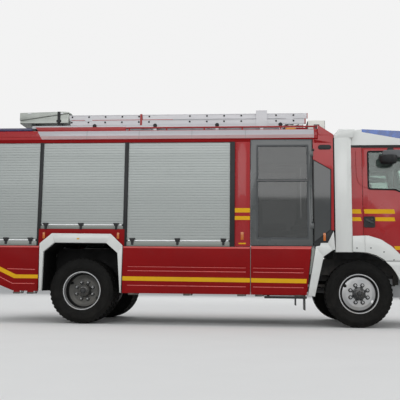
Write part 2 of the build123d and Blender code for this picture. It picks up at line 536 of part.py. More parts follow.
# Flaps with pressed ribs, hinged along the bottom edge
flap_table = {  # outline, ribs as (rear point, front point)
    "flap_rear": ([(-6076, 1196), (-4928, 1196), (-4928, 492), (-5327, 499), (-6076, 790)],
                  [((-5980, 840), (-4980, 828)), ((-5330, 611), (-4980, 611))]),
    "flap_long": ([(-3601, 1196), (-3601, FLAP_BOTTOM), (-1633, FLAP_BOTTOM), (-1633, 1196)],
                  [((-3520, z), (-1700, z)) for z in (889, 827, 604)]),
    "flap_crew": ([(-1623, 1196), (-1623, FLAP_BOTTOM), (-784, FLAP_BOTTOM), (-708, 1196)],
                  [((-1590, z), (-830, z)) for z in (889, 827, 604)])}
ay, az = FLAP_AXIS
for name, (outline, ribs) in flap_table.items():
    plate = side_prism(outline, BODY_IN, BODY_HALF)
    for (x0, z0), (x1, z1) in ribs:
        groove = [(x0, z0 - 6), (x1, z1 - 6), (x1, z1 + 6), (x0, z0 + 6)]
        plate = plate - side_prism(groove, BODY_HALF - 4, CUT_OUT)
    for x in hinge_table[name]:
        plate = plate.fuse(rod((x, ay, az), (x + 100, ay, az), 13))
        plate = plate.fuse(box(x, x + 100, ay - 13, BODY_HALF, az, 502))
        plate = plate - rod((x - 1, ay, az), (x + 101, ay, az), 7.05)
    save_both(name, plate)

# Crew doors with two windows
door = side_prism([(-1628, 1222), (-685, 1222), (-685, 2866), (-1628, 2866)], BODY_IN, BODY_HALF)
crew_glass = []
for x0, x1, z0, z1 in [(-1520, -758, 1336, 2213), (-1520, -758, 2237, 2763)]:
    door = door - box(x0, x1, CUT_IN, CUT_OUT, z0, z1)
    crew_glass.append(box(x0 + g, x1 - g, BODY_HALF - 14, BODY_HALF - 7, z0 + g, z1 - g))
for z in CREW_HINGES:
    door = door.fuse(rod((hx, hy, z), (hx, hy, z + 80), 10))
    door = door.fuse(box(-720, hx, BODY_HALF - 1, hy + 4, z, z + 80))
    door = door - rod((hx, hy, z - 1), (hx, hy, z + 81), 5.05)
save_both("crew_door", door)
save_both("crew_door_glass", *crew_glass)

# Cab: one rounded outer form, thinned from the inside, then cut into its real panels
CAB_SIDE = [(-330, 1130), (1275, 1130), (1275, 1960), (1110, 2790), (1040, 2890), (-330, 2890)]


def cab_form(d):
    """Cab body shrunk by d on every face, with rounded front corners."""
    form = side_prism(shrink(CAB_SIDE, d), -CAB_HALF + d, CAB_HALF - d)
    edges = [e for e in form.edges() if e.center().X > 1000 and abs(e.center().Y) > CAB_HALF - d - 1
             and e.center().Z > 1135 + d]
    return form.fillet(150 - d, edges)


cab_skin = cab_form(0) - cab_form(SKIN)
glass_skin = cab_form(6) - cab_form(14)
INNER = CAB_HALF - SKIN
DOOR_OUTLINE = [(93, 2751), (93, 1387), (150, 1386), (330, 1332), (490, 1226), (619, 1098),
                (662, 1003), (1028, 1003), (1028, 2751)]
WINDOW = [(185, 2691), (185, 2111), (593, 2101), (657, 2067), (985, 2067), (985, 2250), (905, 2691)]
SCREEN_Z = (1990, 2745)
SCREEN = [(85 - CAB_HALF, SCREEN_Z[0]), (CAB_HALF - 85, SCREEN_Z[0]), (CAB_HALF - 120, SCREEN_Z[1]),
          (120 - CAB_HALF, SCREEN_Z[1])]
PIERCE = (CAB_HALF - 120, CAB_HALF + 80)        # reach of cuts through the cab's sides
CORE = CAB_HALF - 160                           # half width inside the rounded front corners

cab_door = side_prism(DOOR_OUTLINE, INNER, CAB_HALF) - side_prism(WINDOW, *PIERCE)
dx, dy = CAB_DOOR_AXIS
CAB_HINGES = (1250, 1900)
for z in CAB_HINGES:
    cab_door = cab_door.fuse(rod((dx, dy, z), (dx, dy, z + 80), 10))
    cab_door = cab_door.fuse(box(985, dx, CAB_HALF - 1, dy + 3, z, z + 80))
    cab_door = cab_door - rod((dx, dy, z - 1), (dx, dy, z + 81), 5.05)
door_handle = box(112, 262, CAB_HALF + g, CAB_HALF + 18, 1520, 1676)
save_both("cab_door", cab_door, door_handle)
save_both("cab_door_glass", glass_skin & side_prism(shrink(WINDOW, g), *PIERCE))

# Shell panels: rear wall, quarter and sill panels, front wall with pillars, door hinge pins
rear_wall = box(-330, -300, -INNER + g, INNER - g, CAB_FLOOR + g, 2795)
rear_wall = rear_wall - box(-340, -290, -461, 461, 1200, 1421)
quarter = side_prism([(-330, 1132), (88, 1132), (88, 2756), (-330, 2756)], INNER, CAB_HALF)
sill_outline = [(88.3, 1132), (88.3, 1381), (148, 1380), (326, 1326), (486, 1220), (580, 1132)]
sill = side_prism(sill_outline, INNER, CAB_HALF)
front_wall = cab_skin & box(1034, 1300, -PIERCE[1], PIERCE[1], 1166, 2796)
front_wall = front_wall - front_prism(SCREEN, 1000, 1400)
front_parts = [front_wall & box(1000, 1300, -PIERCE[1], PIERCE[1], z0, z1)
               for z0, z1 in [(1100, SCREEN_Z[0] - g), (SCREEN_Z[0], SCREEN_Z[1]), (SCREEN_Z[1] + g, 2800)]]
drip = side_prism([(-330, 2756.3), (1033.7, 2756.3), (1033.7, 2796), (-330, 2796)], INNER, CAB_HALF)
cab_pins = [box(dx, dx + 36, CAB_HALF + g, dy + 8, z + 85, z + 110).fuse(
    rod((dx, dy, z), (dx, dy, z + 110), 5)) for z in CAB_HINGES]
save("cab_shell", rear_wall, *front_parts, *pair([quarter, sill, drip] + cab_pins))
save("windscreen", glass_skin & front_prism(shrink(SCREEN, g), 1034, 1400))

# White roof with a raised cap, blue lenses along its edges
roof = cab_skin & box(-330, 1300, -PIERCE[1], PIERCE[1], 2796.3, 3000)
cap = side_prism([(-50, 2890.3), (-14, 3034), (100, 3054), (683, 3021), (900, 2985), (1020, 2905),
                  (1030, 2890.3)], g - CORE, CORE - g)
cap_edge = side_prism([(-50, 2890.3), (-14, 3034), (98, 3051), (98, 3006), (683, 2897), (712, 2890.3)],
                      CORE, CAB_HALF - 3)
lens_outline = [(98.3, 3052), (98.3, 3007), (690, 2896), (722, 2890.3), (1028, 2890.3), (1018, 2905),
                (900, 2982), (683, 3019)]
save("cab_roof", roof, cap, *pair([cap_edge]))
save("cab_beacons", *pair([side_prism(lens_outline, CORE, CAB_HALF - 6)]))

# Cab floor around the engine tunnel, and the tilt barrels
tunnel = [box(-299.7, 800, -435.7, 435.7, 1395, 1420), box(800.3, 825, -461.7, 461.7, 1190, 1420),
          box(825.3, 1239.7, -461.7, 461.7, 1190, CAB_FLOOR)]
tilt_barrel = box(px - 30, px + 30, 444, 490, pz, 1189.7).fuse(rod((px, 444, pz), (px, 490, pz), 32))
tilt_barrel = tilt_barrel - rod((px, 440, pz), (px, 500, pz), 20.05)
side_floor = [box(-329, 1120, 462, INNER - g, 1190, CAB_FLOOR), box(-299.7, 800, 436, 461.7, 1190, 1420),
              box(1120.3, 1239.7, 462, CORE, 1190, CAB_FLOOR)]
save("cab_floor", *tunnel, *pair([tilt_barrel] + side_floor))

# White fairing behind the doors and above the roof
side_fairing = plan_prism([(-344, CAB_HALF + g), (-344, BODY_HALF), (-130, BODY_HALF), (-90, BODY_HALF - 25),
                           (-90, CAB_HALF + g)], 1130, 2890)
top_fairing = side_prism([(-344, 2890.3), (-348, 2946), (-262, 3038), (-21, 3036), (-58, 2890.3)],
                         -BODY_HALF, BODY_HALF)
top_edges = [e for e in top_fairing.edges() if abs(e.center().Y) > BODY_HALF - 1 and e.center().Z > 2990]
save("cab_fairing", *pair([side_fairing]), top_fairing.fillet(60, top_edges))

# White front wheel arch on the cab
rear_piece = side_prism([(-88, 1374), (91, 1380), (91, 1122), (-88, 1132)], CAB_HALF + g, BODY_HALF)
fan = [((91.3, 1381), (91.3, 1122)), ((150, 1379), (146, 1114)), ((326, 1325), (256, 1080)),
       ((486, 1220), (340, 1034)), ((614, 1092), (384, 1003)), ((655, 1003), (386, 1003))]
front_piece = None
for (a, b), (c, d) in zip(fan[:-2], fan[1:-1]):
    wedge = side_prism([a, c, d, b], CAB_HALF + g, BODY_HALF)
    front_piece = wedge if front_piece is None else front_piece.fuse(wedge)
front_piece = front_piece.fuse(side_prism([(614, 1092), (655, 1003), (384, 1003)], CAB_HALF + g, BODY_HALF))
save("cab_fenders", *pair([rear_piece, front_piece]))

# Black grille on the front wall
grille = box(1275.3, 1300, -640, 640, 1200, 1600)
for z in (1260, 1340, 1420, 1500):
    grille = grille - box(1290, 1310, -600, 600, z, z + 40)
save("cab_grille", grille)

# Driver's seats, dashboard with steering wheel
inside = []
for side in (-1, 1):
    y = side * 700
    inside += [box(260, 720, y - 230, y + 230, 1560, 1680),
               box(150, 259.7, y - 230, y + 230, 1600, 2330),
               box(320, 640, y - 150, y + 150, CAB_FLOOR + g, 1559.7)]
dash = box(900, 1124, 7 - INNER, INNER - 7, 1500, 1900)
dash = dash.fuse(box(1124, 1239.7, -CORE, CORE, 1500, 1900))
tilt = radians(35)
wheel_plane = Plane(origin=(800, 700, 1930), z_dir=(-sin(tilt), 0, cos(tilt)))
steering = Solid.make_torus(210, 16, wheel_plane).fuse((wheel_plane * Box(400, 40, 16)).solid())
column_end = (800 + 200 * sin(tilt), 700, 1930 - 200 * cos(tilt))
steering = steering.fuse(rod((800, 700, 1930), column_end, 30))
save("cab_interior", *inside, dash.fuse(steering))

# Mirrors on the doors: base, arm, main mirror and kerb mirror
arm_y = CAB_HALF + 142
mirror_set = box(480, 570, CAB_HALF + g, CAB_HALF + 20, 2697, 2747).fuse(
    rod((525, CAB_HALF + 16, 2722), (440, arm_y, 2650), 16),
    rod((440, arm_y, 2650), (1020, arm_y + 78, 2620), 18),
    box(985, 1075, arm_y + 48, arm_y + 258, 2060, 2630),
    Solid.make_sphere(135, Plane((440, arm_y, 2600)), -90, 0, 360),
    rod((440, arm_y, 2599), (440, arm_y, 2650), 60))
save_both("mirrors", mirror_set)

# Steering knuckles: ears above and below the axle end, plate and spindle
ky = KINGPIN_Y
SPINDLE_END = TRACK_HALF + 95.7
knuckle = box(-70, 70, ky - 60, ky + 95, AXLE_Z + 66, AXLE_Z + 106).fuse(
    box(-70, 70, ky - 60, ky + 95, AXLE_Z - 106, AXLE_Z - 66),
    box(-90, 90, ky + 70, ky + 95, AXLE_Z - 106, AXLE_Z + 106))
knuckle = knuckle - rod((0, ky, AXLE_Z - 200), (0, ky, AXLE_Z + 200), 24.05)
save_both("knuckle", knuckle.fuse(rod((0, ky + 95, AXLE_Z), (0, SPINDLE_END, AXLE_Z), 45)))

# Tyres and rims as (offset along the axle, radius) sections
half = TYRE_WIDTH / 2


def tyre(x, y):
    pts = [(-96.3, 286.8), (-96.3, 298.3), (-108, 300), (-126, 320), (-half, 372), (-half, 420), (-132, 462),
           (-118, 489), (-100, 501), (0, TYRE_R)]
    pts += [(-a, r) for a, r in reversed(pts[:-1])]
    return turned(pts, (x, y, AXLE_Z))


RIM_EDGE = [(-105, 286), (-105, 298), (-97, 298), (-96.6, 286.5), (96.6, 286.5), (97, 298), (105, 298),
            (105, 286), (98, 275)]
FRONT_RIM = RIM_EDGE + [
    (66, 262), (84, 215), (92, 200), (92, 95), (130, 85), (150, 60), (150, 0.01), (96, 0.01), (96, 45.05),
    (-20, 45.05), (-20, 110), (76, 110), (76, 200), (54, 262), (40, 272), (-98, 272)]
REAR_RIM = RIM_EDGE + [
    (-60, 262), (-84, 215), (-92, 190), (-92, 100), (0, 92), (20, 70), (20, 0.01), (-10, 0.01), (-10, 50.05),
    (-300, 50.05), (-300, 130), (-104, 130), (-104, 200), (-98, 262)]
INNER_RIM = RIM_EDGE[:-1] + [
    (150, 262), (190, 215), (207.7, 200), (207.7, 130.3), (195.7, 130.3), (195.7, 190), (180, 205),
    (140, 250), (98, 274), (-98, 272)]
studs = [(137.5 * cos(radians(45 * i + 22.5)), 137.5 * sin(radians(45 * i + 22.5))) for i in range(8)]


def hand_holes(centre, offset):
    """Two round holes in the cone of a rim, at opposite places."""
    x, y, z = centre
    holes = []
    for angle in (150, 330):
        hx, hz = x + 234 * cos(radians(angle)), z + 234 * sin(radians(angle))
        holes.append(rod((hx, y + offset - 60, hz), (hx, y + offset + 60, hz), 25))
    return holes


def nuts(x, y0, y1):
    return [rod((x + sx, y0, AXLE_Z + sz), (x + sx, y1, AXLE_Z + sz), 17) for sx, sz in studs]


front_centre = (0, TRACK_HALF, AXLE_Z)
outer_centre = (REAR_AXLE, TRACK_HALF, AXLE_Z)
inner_centre = (REAR_AXLE, TRACK_HALF - TWIN_SPACING, AXLE_Z)
save_both("tyre_front", tyre(0, TRACK_HALF))
front_rim = turned(FRONT_RIM, front_centre) - hand_holes(front_centre, 76)
rear_rim = turned(REAR_RIM, outer_centre) - hand_holes(outer_centre, -84)
save_both("rim_front", front_rim, *nuts(0, TRACK_HALF + 92 + g, TRACK_HALF + 122))
save_both("tyres_rear", tyre(REAR_AXLE, TRACK_HALF), tyre(REAR_AXLE, TRACK_HALF - TWIN_SPACING))
save_both("rims_rear", rear_rim, turned(INNER_RIM, inner_centre),
          *nuts(REAR_AXLE, TRACK_HALF - 92 + g, TRACK_HALF - 60))
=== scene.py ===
"""Looks of the fire engine: finishes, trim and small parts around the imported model.

Places are in millimetres, x forward from the front axle, y to the left, z up, as in the
model's own source. Pieces are turned into metres in the model's frame when they are finished.
"""
import json
from math import cos, hypot, pi, radians, sin

import bmesh
import bpy
from mathutils import Matrix, Vector


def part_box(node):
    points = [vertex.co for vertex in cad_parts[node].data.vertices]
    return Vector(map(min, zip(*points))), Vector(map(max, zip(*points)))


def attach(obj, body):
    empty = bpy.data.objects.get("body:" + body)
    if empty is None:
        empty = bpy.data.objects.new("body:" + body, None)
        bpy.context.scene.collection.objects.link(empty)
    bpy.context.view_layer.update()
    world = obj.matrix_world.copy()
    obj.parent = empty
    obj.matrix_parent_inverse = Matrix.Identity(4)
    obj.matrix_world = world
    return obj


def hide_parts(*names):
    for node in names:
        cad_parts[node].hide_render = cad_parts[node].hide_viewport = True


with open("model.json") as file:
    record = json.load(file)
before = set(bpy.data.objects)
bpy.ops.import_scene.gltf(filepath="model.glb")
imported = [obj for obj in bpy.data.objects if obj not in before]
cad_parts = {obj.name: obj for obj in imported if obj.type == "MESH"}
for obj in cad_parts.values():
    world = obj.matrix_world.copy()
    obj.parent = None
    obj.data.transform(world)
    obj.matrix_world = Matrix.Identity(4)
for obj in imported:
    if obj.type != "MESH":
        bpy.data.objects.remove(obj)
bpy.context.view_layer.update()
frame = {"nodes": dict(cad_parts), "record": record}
nodes = frame["nodes"]
scene = bpy.context.scene
tyre_low, tyre_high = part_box("tyre_front_right")
AXLE_X = (tyre_low.x + tyre_high.x) / 2
AXLE_Z = (tyre_low.z + tyre_high.z) * 500
TYRE_R = (tyre_high.z - tyre_low.z) * 500
rear_low, rear_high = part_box("tyres_rear_right")
REAR_AXLE = ((rear_low.x + rear_high.x) / 2 - AXLE_X) * 1000
SIDES = ((-1, "right"), (1, "left"))

# Driving dimensions that the frame doesn't give as a box
BODY_HALF = 1250
CAB_HALF = 1120
TRACK_HALF = 1060
TWIN_SPACING = 312
STUD_R = 137.5
FRONT_FACE = TRACK_HALF + 92
REAR_FACE = TRACK_HALF - 92
ROOF_Z = 2960
DECK_Z = ROOF_Z + 6
SHUTTER_TOP = 2835
SLAT_PITCH = 41.6
BUMPER_X = 1379
CAB_FRONT = 1274
BODY_REAR = -6080


def metres(p):
    return Vector((AXLE_X + p[0] / 1000, p[1] / 1000, p[2] / 1000))


# Materials
def link(tree, a, b):
    tree.links.new(a, b)


def socket_noise(tree, coords, scale, detail=3, stretch=(1, 1, 1)):
    mapping = tree.nodes.new("ShaderNodeMapping")
    mapping.inputs["Scale"].default_value = stretch
    noise = tree.nodes.new("ShaderNodeTexNoise")
    noise.inputs["Scale"].default_value = scale
    noise.inputs["Detail"].default_value = detail
    link(tree, coords, mapping.inputs["Vector"])
    link(tree, mapping.outputs["Vector"], noise.inputs["Vector"])
    return noise.outputs["Fac"]


def ramp(tree, value, low, high, to_low=0.0, to_high=1.0):
    node = tree.nodes.new("ShaderNodeMapRange")
    for socket, bound in (("From Min", low), ("From Max", high), ("To Min", to_low), ("To Max", to_high)):
        node.inputs[socket].default_value = bound
    link(tree, value, node.inputs["Value"])
    return node.outputs["Result"]


def combine(tree, operation, a, b):
    node = tree.nodes.new("ShaderNodeMath")
    node.operation = operation
    link(tree, a, node.inputs[0])
    link(tree, b, node.inputs[1])
    return node.outputs[0]


def blend_colours(tree, factor, a, b):
    """Mix of two colours; each is a socket or a tuple."""
    node = tree.nodes.new("ShaderNodeMix")
    node.data_type = "RGBA"
    link(tree, factor, node.inputs[0])
    for value, socket in ((a, node.inputs[6]), (b, node.inputs[7])):
        if isinstance(value, tuple):
            socket.default_value = (*value, 1)
        else:
            link(tree, value, socket)
    return node.outputs[2]


DUST = (0.22, 0.19, 0.15)


def finish(name, colour, rough=0.5, metal=0.0, coat=0.0, vary=0.08, patch=3.0, grain=400.0, bump=0.15,
           depth=0.0003, stretch=(1, 1, 1), dust=0.0, dust_top=1.3, glass=0.0, sheen=0.0, alpha=1.0,
           spec=0.5):
    """A material with patchy colour, uneven gloss, fine relief and road dust that thins out with height."""
    material = bpy.data.materials.new(name)
    material.use_nodes = True
    tree = material.node_tree
    shader = tree.nodes["Principled BSDF"]
    coords = tree.nodes.new("ShaderNodeTexCoord").outputs["Object"]
    values = {"Metallic": metal, "Coat Weight": coat, "Coat Roughness": 0.04, "Specular IOR Level": spec,
              "IOR": 1.45, "Transmission Weight": glass, "Sheen Weight": sheen, "Alpha": alpha}
    for socket, value in values.items():
        shader.inputs[socket].default_value = value
    patches = socket_noise(tree, coords, patch, 4, stretch)
    dark = tuple(c * (1 - vary) for c in colour)
    light = tuple(min(1.0, c * (1 + vary)) for c in colour)
    shade = blend_colours(tree, ramp(tree, patches, 0.35, 0.65), dark, light)
    smears = socket_noise(tree, coords, patch * 4, 3, stretch)
    gloss = ramp(tree, smears, 0.3, 0.7, rough * 0.85, min(1.0, rough * 1.15))
    if dust:
        parts = tree.nodes.new("ShaderNodeSeparateXYZ")
        link(tree, coords, parts.inputs[0])
        low = ramp(tree, parts.outputs["Z"], 0.25, dust_top, dust, 0.0)
        speckle = ramp(tree, socket_noise(tree, coords, 9, 6), 0.3, 0.75)
        shade = blend_colours(tree, combine(tree, "MULTIPLY", low, speckle), shade, DUST)
    link(tree, shade, shader.inputs["Base Color"])
    link(tree, gloss, shader.inputs["Roughness"])
    if bump:
        relief = tree.nodes.new("ShaderNodeBump")
        relief.inputs["Strength"].default_value = bump
        relief.inputs["Distance"].default_value = depth
        link(tree, socket_noise(tree, coords, grain, 2, stretch), relief.inputs["Height"])
        link(tree, relief.outputs["Normal"], shader.inputs["Normal"])
    return material


PAINT = {"patch": 1.2, "grain": 260}
DRAWN = {"stretch": (0.05, 1, 1)}
BEACON = {"vary": 0.25, "patch": 14, "grain": 60, "bump": 0.25, "depth": 0.001}
RIBBED = {"coat": 0.5, "vary": 0.15, "patch": 60, "grain": 250, "bump": 0.5, "depth": 0.001}
CAST = {"vary": 0.12, "patch": 9, "grain": 500, "bump": 0.2, "dust_top": 1.1}
RED = finish("red_paint", (0.33, 0.006, 0.009), 0.3, coat=0.36, vary=0.05, bump=0.04, dust=0.1, spec=0.3,
             **PAINT)
# A darker copy of the red paint: painted shade on the flaps, the middle flap, the band above the shutters,
# the cab crease and a corner wedge; a small roof handle uses it too
DARK_RED_SHADE = finish("dark_red_painted_shade", (0.22, 0.003, 0.004), 0.45, vary=0.06, bump=0.05, dust=0.03,
                  dust_top=1.0, spec=0.1, **PAINT)
# A lighter red: painted highlight on the flap ribs and along the flap tops
HIGHLIGHT_RED = finish("red_painted_highlight", (0.56, 0.08, 0.07), 0.3, coat=0.3, vary=0.1, patch=2, grain=260, bump=0.05)
RAIL_RED = finish("red_powder_coat", (0.30, 0.011, 0.011), 0.4, vary=0.06, grain=900, bump=0.2)
WHITE = finish("white_paint", (0.64, 0.655, 0.635), 0.35, coat=0.35, vary=0.03, patch=1.6, grain=260,
               bump=0.05, dust=0.35, dust_top=1.1)
BLACK = finish("black_plastic", (0.012, 0.013, 0.014), 0.45, vary=0.15, grain=1400, bump=0.3, dust=0.2,
               dust_top=1.0, spec=0.3)
GLOSS_BLACK = finish("gloss_black", (0.012, 0.013, 0.014), 0.12, coat=0.5, vary=0.1, grain=200, bump=0.03)
RUBBER = finish("black_rubber", (0.007, 0.007, 0.007), 0.62, vary=0.2, grain=700, bump=0.25, spec=0.25)
CHASSIS = finish("chassis_paint", (0.020, 0.021, 0.022), 0.5, vary=0.25, patch=6, grain=300, bump=0.4,
                 dust=0.75)
ENGINE = finish("cast_grey", (0.10, 0.105, 0.11), 0.6, metal=0.3, vary=0.25, patch=7, grain=240, bump=0.6,
                dust=0.6)
SHEET = finish("sheet_metal", (0.42, 0.43, 0.44), 0.42, metal=0.7, patch=5, grain=500, stretch=(0.1, 1, 1),
               dust=0.3)
# The dust, darker towards the bottom and reaching high, is partly real dust and partly painted shade on the
# low slats
SHUTTER = finish("anodised_slats", (0.275, 0.297, 0.29), 0.4, metal=0.55, vary=0.05, patch=1.4, grain=900,
                 bump=0.2, stretch=(0.03, 1, 1), dust=0.15, dust_top=1.7)
SILL = finish("sill_section", (0.19, 0.205, 0.19), 0.45, metal=0.4, grain=700, bump=0.2, dust=0.2,
              dust_top=1.7, **DRAWN)
BRIGHT = finish("bright_aluminium", (0.74, 0.75, 0.76), 0.3, metal=0.8, vary=0.05, grain=900, **DRAWN)
LADDER = finish("ladder_aluminium", (0.44, 0.44, 0.455), 0.38, metal=0.25, vary=0.07, patch=4, grain=800,
                **DRAWN)
BOX = finish("box_aluminium", (0.37, 0.395, 0.365), 0.45, metal=0.35, patch=5, grain=300, bump=0.2)
STRIP = finish("strip_lens", (0.44, 0.43, 0.455), 0.22, coat=0.4, vary=0.05, patch=2, grain=90, bump=0.1,
               stretch=(0.1, 1, 1))
BLUE = finish("blue_lens", (0.012, 0.08, 0.34), 0.12, coat=0.5, **BEACON)
# A darker, reddish copy of the blue lens: painted shade and a painted reflection of the red body
SHADED_BLUE = finish("blue_lens_painted_shade", (0.022, 0.016, 0.075), 0.2, coat=0.3, spec=0.3, **BEACON)
AMBER = finish("amber_lens", (0.48, 0.115, 0.004), 0.2, **RIBBED)
LENS_RED = finish("red_lens", (0.50, 0.008, 0.008), 0.15, **RIBBED)
LENS = finish("clear_lens", (0.80, 0.82, 0.84), 0.1, coat=0.5, patch=50, grain=120, bump=0.6, depth=0.001)
DOOR_GREY = finish("grey_door_paint", (0.062, 0.069, 0.07), 0.3, coat=0.3, vary=0.06, patch=1.5, grain=260,
                   bump=0.04, dust=0.2, dust_top=1.6)
SEAL_GREY = finish("grey_seal", (0.045, 0.05, 0.053), 0.55, vary=0.12, grain=600, bump=0.2)
TINTED = finish("tinted_glass", (0.040, 0.044, 0.043), 0.05, coat=0.6, vary=0.06, patch=2, bump=0,
                alpha=0.72)
CLEAR = finish("cab_glass", (0.45, 0.56, 0.51), 0.005, glass=0.92, vary=0.04, patch=2, bump=0)
DARK = finish("dark_glass", (0.022, 0.026, 0.027), 0.06, coat=0.4, vary=0.15, patch=2, grain=3, bump=0.03)
MIRROR = finish("mirror_glass", (0.80, 0.82, 0.83), 0.03, metal=1.0, vary=0.02, patch=8, grain=3, bump=0.01)
FABRIC = finish("seat_cloth", (0.045, 0.05, 0.062), 0.85, vary=0.2, patch=40, grain=1100, bump=0.8,
                depth=0.0008, sheen=0.3)
DASH = finish("dash_plastic", (0.10, 0.105, 0.11), 0.6, grain=1300, bump=0.5)
LINING = finish("cabin_lining", (0.32, 0.33, 0.33), 0.7, grain=900, bump=0.4)
MAT = finish("rubber_mat", (0.05, 0.05, 0.052), 0.75, vary=0.2, patch=12, grain=160, bump=0.8, depth=0.001)
YELLOW = finish("yellow_stripe", (0.68, 0.37, 0.002), 0.4, vary=0.05, grain=900, dust=0.1, spec=0.2)
RIM = finish("rim_silver", (0.44, 0.45, 0.46), 0.38, metal=0.45, dust=0.55, **CAST)
# A darker copy of the rim silver: painted shade on the recessed disc and well of the rear rims, with some
# real dust
SHADED = finish("shaded_rim", (0.085, 0.085, 0.08), 0.5, metal=0.3, dust=0.2, **CAST)
TYRE = finish("tyre_rubber", (0.0065, 0.0065, 0.0062), 0.75, vary=0.25, patch=8, grain=420, bump=0.4,
              dust=0.03, dust_top=1.1, spec=0.14)
IRON = finish("cast_iron", (0.035, 0.033, 0.030), 0.6, metal=0.5, vary=0.3, patch=12, grain=300, bump=0.5,
              dust=0.6)
CHEQUER = finish("chequer_plate", (0.50, 0.51, 0.52), 0.4, metal=0.75, patch=4, grain=45, bump=0.9,
                 depth=0.002)
MAST = finish("mast_tube", (0.62, 0.63, 0.64), 0.3, metal=0.8, vary=0.05, grain=700, stretch=(1, 1, 0.05))
CREAM = finish("lamp_housing", (0.72, 0.71, 0.66), 0.4, vary=0.04, grain=900, bump=0.2)
PINK = finish("pink_reflector", (0.40, 0.255, 0.255), 0.3, coat=0.3, vary=0.06, patch=2, grain=120)
GROOVE = finish("slat_joint", (0.23, 0.24, 0.235), 0.6, vary=0.12, grain=700, bump=0.2, spec=0.3)
ORANGE = finish("orange_cover", (0.62, 0.26, 0.03), 0.5, vary=0.12, patch=30, grain=500, bump=0.3)

SLOT_FINISH = {
    "red_paint": RED, "white_paint": WHITE, "chassis_black": CHASSIS, "engine_grey": ENGINE,
    "sheet_metal": SHEET, "shutter_silver": SHUTTER, "black_plastic": BLACK, "light_strip": STRIP,
    "blue_lens": BLUE, "ladder_metal": LADDER, "box_metal": BOX, "dark_glass": DARK, "door_grey": DOOR_GREY,
    "tinted_glass": TINTED, "clear_glass": CLEAR, "seat_fabric": FABRIC, "lamp_plastic": AMBER,
    "mast_metal": MAST, "grille_black": BLACK, "dash_plastic": DASH, "knuckle_iron": IRON,
    "tyre_rubber": TYRE, "rim_silver": RIM}


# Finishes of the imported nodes
def paint(node, base, *rules):
    """Give a node its finish; a rule is (finish, test).

    The test gets a face's x, its distance y from the middle, its z, and its normal turned outwards in y.
    """
    mesh = nodes[node].data
    mesh.materials.clear()
    mesh.materials.append(base)
    for number, (material, test) in enumerate(rules, 1):
        mesh.materials.append(material)
        for face in mesh.polygons:
            centre, normal = face.center, face.normal.copy()
            if centre.y < 0:
                normal.y = -normal.y
            if test((centre.x - AXLE_X) * 1000, abs(centre.y * 1000), centre.z * 1000, normal):
                face.material_index = number


def round_edges(o, width, angle=35):
    """Smooth faces, and round the edges sharper than the angle."""
    o.data.shade_smooth()
    o.data.set_sharp_from_angle(angle=radians(angle))
    if width:
        edge = o.modifiers.new("edge", "BEVEL")
        edge.width, edge.segments = width / 1000, 2
        edge.limit_method, edge.angle_limit = "ANGLE", radians(angle)


def soften(node, width):
    """Weld the node's faces together and round its edges."""
    o = nodes[node]
    if "custom_normal" in o.data.attributes:
        o.data.attributes.remove(o.data.attributes["custom_normal"])
    o.modifiers.new("weld", "WELD").merge_threshold = 0.00002
    round_edges(o, width)


for row in frame["record"]["subparts"]:
    paint(row["node"], SLOT_FINISH[row["material_slot"]])


def paint_side(side):
    outside = CAB_HALF + 0.2
    paint("cab_door_" + side, RED, (LINING, lambda x, y, z, n: y < CAB_HALF - 25 or n.y * y < -900),
          (BLACK, lambda x, y, z, n: y > outside and 100 < x < 270 and z < 1700),
          (CHASSIS, lambda x, y, z, n: y > outside and x > 900))
    paint("crew_door_" + side, DOOR_GREY, (LINING, lambda x, y, z, n: y < BODY_HALF - 30))
    # The flaps are in the darker red, which is painted shade
    for name in ("flap_rear_", "flap_long_", "flap_crew_"):
        paint(name + side, DARK_RED_SHADE, (SHEET, lambda x, y, z, n: y < BODY_HALF - 34 and z > 470),
              (CHASSIS, lambda x, y, z, n: z < 479))
    for node, axle, hub in (("rim_front_", 0, 100), ("rims_rear_", REAR_AXLE, 104)):
        def black(x, y, z, n):
            """The hub and the stud rings of the outer face."""
            r = hypot(x - axle, z - AXLE_Z)
            stud = abs(r - STUD_R) < 17.5 and (y > FRONT_FACE + 0.2 or axle and y > REAR_FACE + 0.2)
            return y > TRACK_HALF - 95 and (r < hub or stud)

        def shaded_well(x, y, z, n):
            """The recessed disc and well of a rear rim, which get the darker rim finish as painted shade."""
            near = hypot(x - axle, z - AXLE_Z) < 262
            return axle and near and TRACK_HALF - 97 < y < TRACK_HALF + 70
        # The rear rims' recessed disc and well get painted shade
        paint(node + side, RIM, (GLOSS_BLACK, black), (SHADED, shaded_well))


for _, side in SIDES:
    paint_side(side)
paint("cab_shell", RED, (LINING, lambda x, y, z, n: y < CAB_HALF - 34.5 and -329 <= x < 1239),
      (BLACK, lambda x, y, z, n: 2756 < z < 2797 and y > CAB_HALF - 1),
      (CHASSIS, lambda x, y, z, n: x < -329))
paint("cab_roof", WHITE, (LINING, lambda x, y, z, n: z < 2860 and y < CAB_HALF - 34 and x < 1235))
paint("body_structure", SHEET, (CHEQUER, lambda x, y, z, n: z > ROOF_Z - 1),
      (CHASSIS, lambda x, y, z, n: x > -384),
      (RUBBER, lambda x, y, z, n: -4936 < x < -3599 and (z < 1200 or 1428 < z < 1460)),
      (RUBBER, lambda x, y, z, n: y > 1180 and -1660 < x < -690 and z < 1210),
      (MAT, lambda x, y, z, n: 1210 < z < 1216), (LINING, lambda x, y, z, n: -1641 < x < -390 and z > 1216))
paint("lower_lockers", SHEET, (RUBBER, lambda x, y, z, n: -4945 < x < -3590),
      (CHASSIS, lambda x, y, z, n: z < 480))
paint("lamps", AMBER, (LENS_RED, lambda x, y, z, n: x < -6000), (LENS, lambda x, y, z, n: x > 1300))
BEAM_FACES = (902, 892, 478, 468, 160, 150)


def beam(y, z, n):
    """Faces of the ladder beams, which the rollers between them don't share."""
    end = abs(n.x) > 0.99 or abs(z - 190) < 0.1 or abs(z - 239.7) < 0.1
    return 189.9 < z < 239.8 and (end or any(abs(y - face) < 0.15 for face in BEAM_FACES))
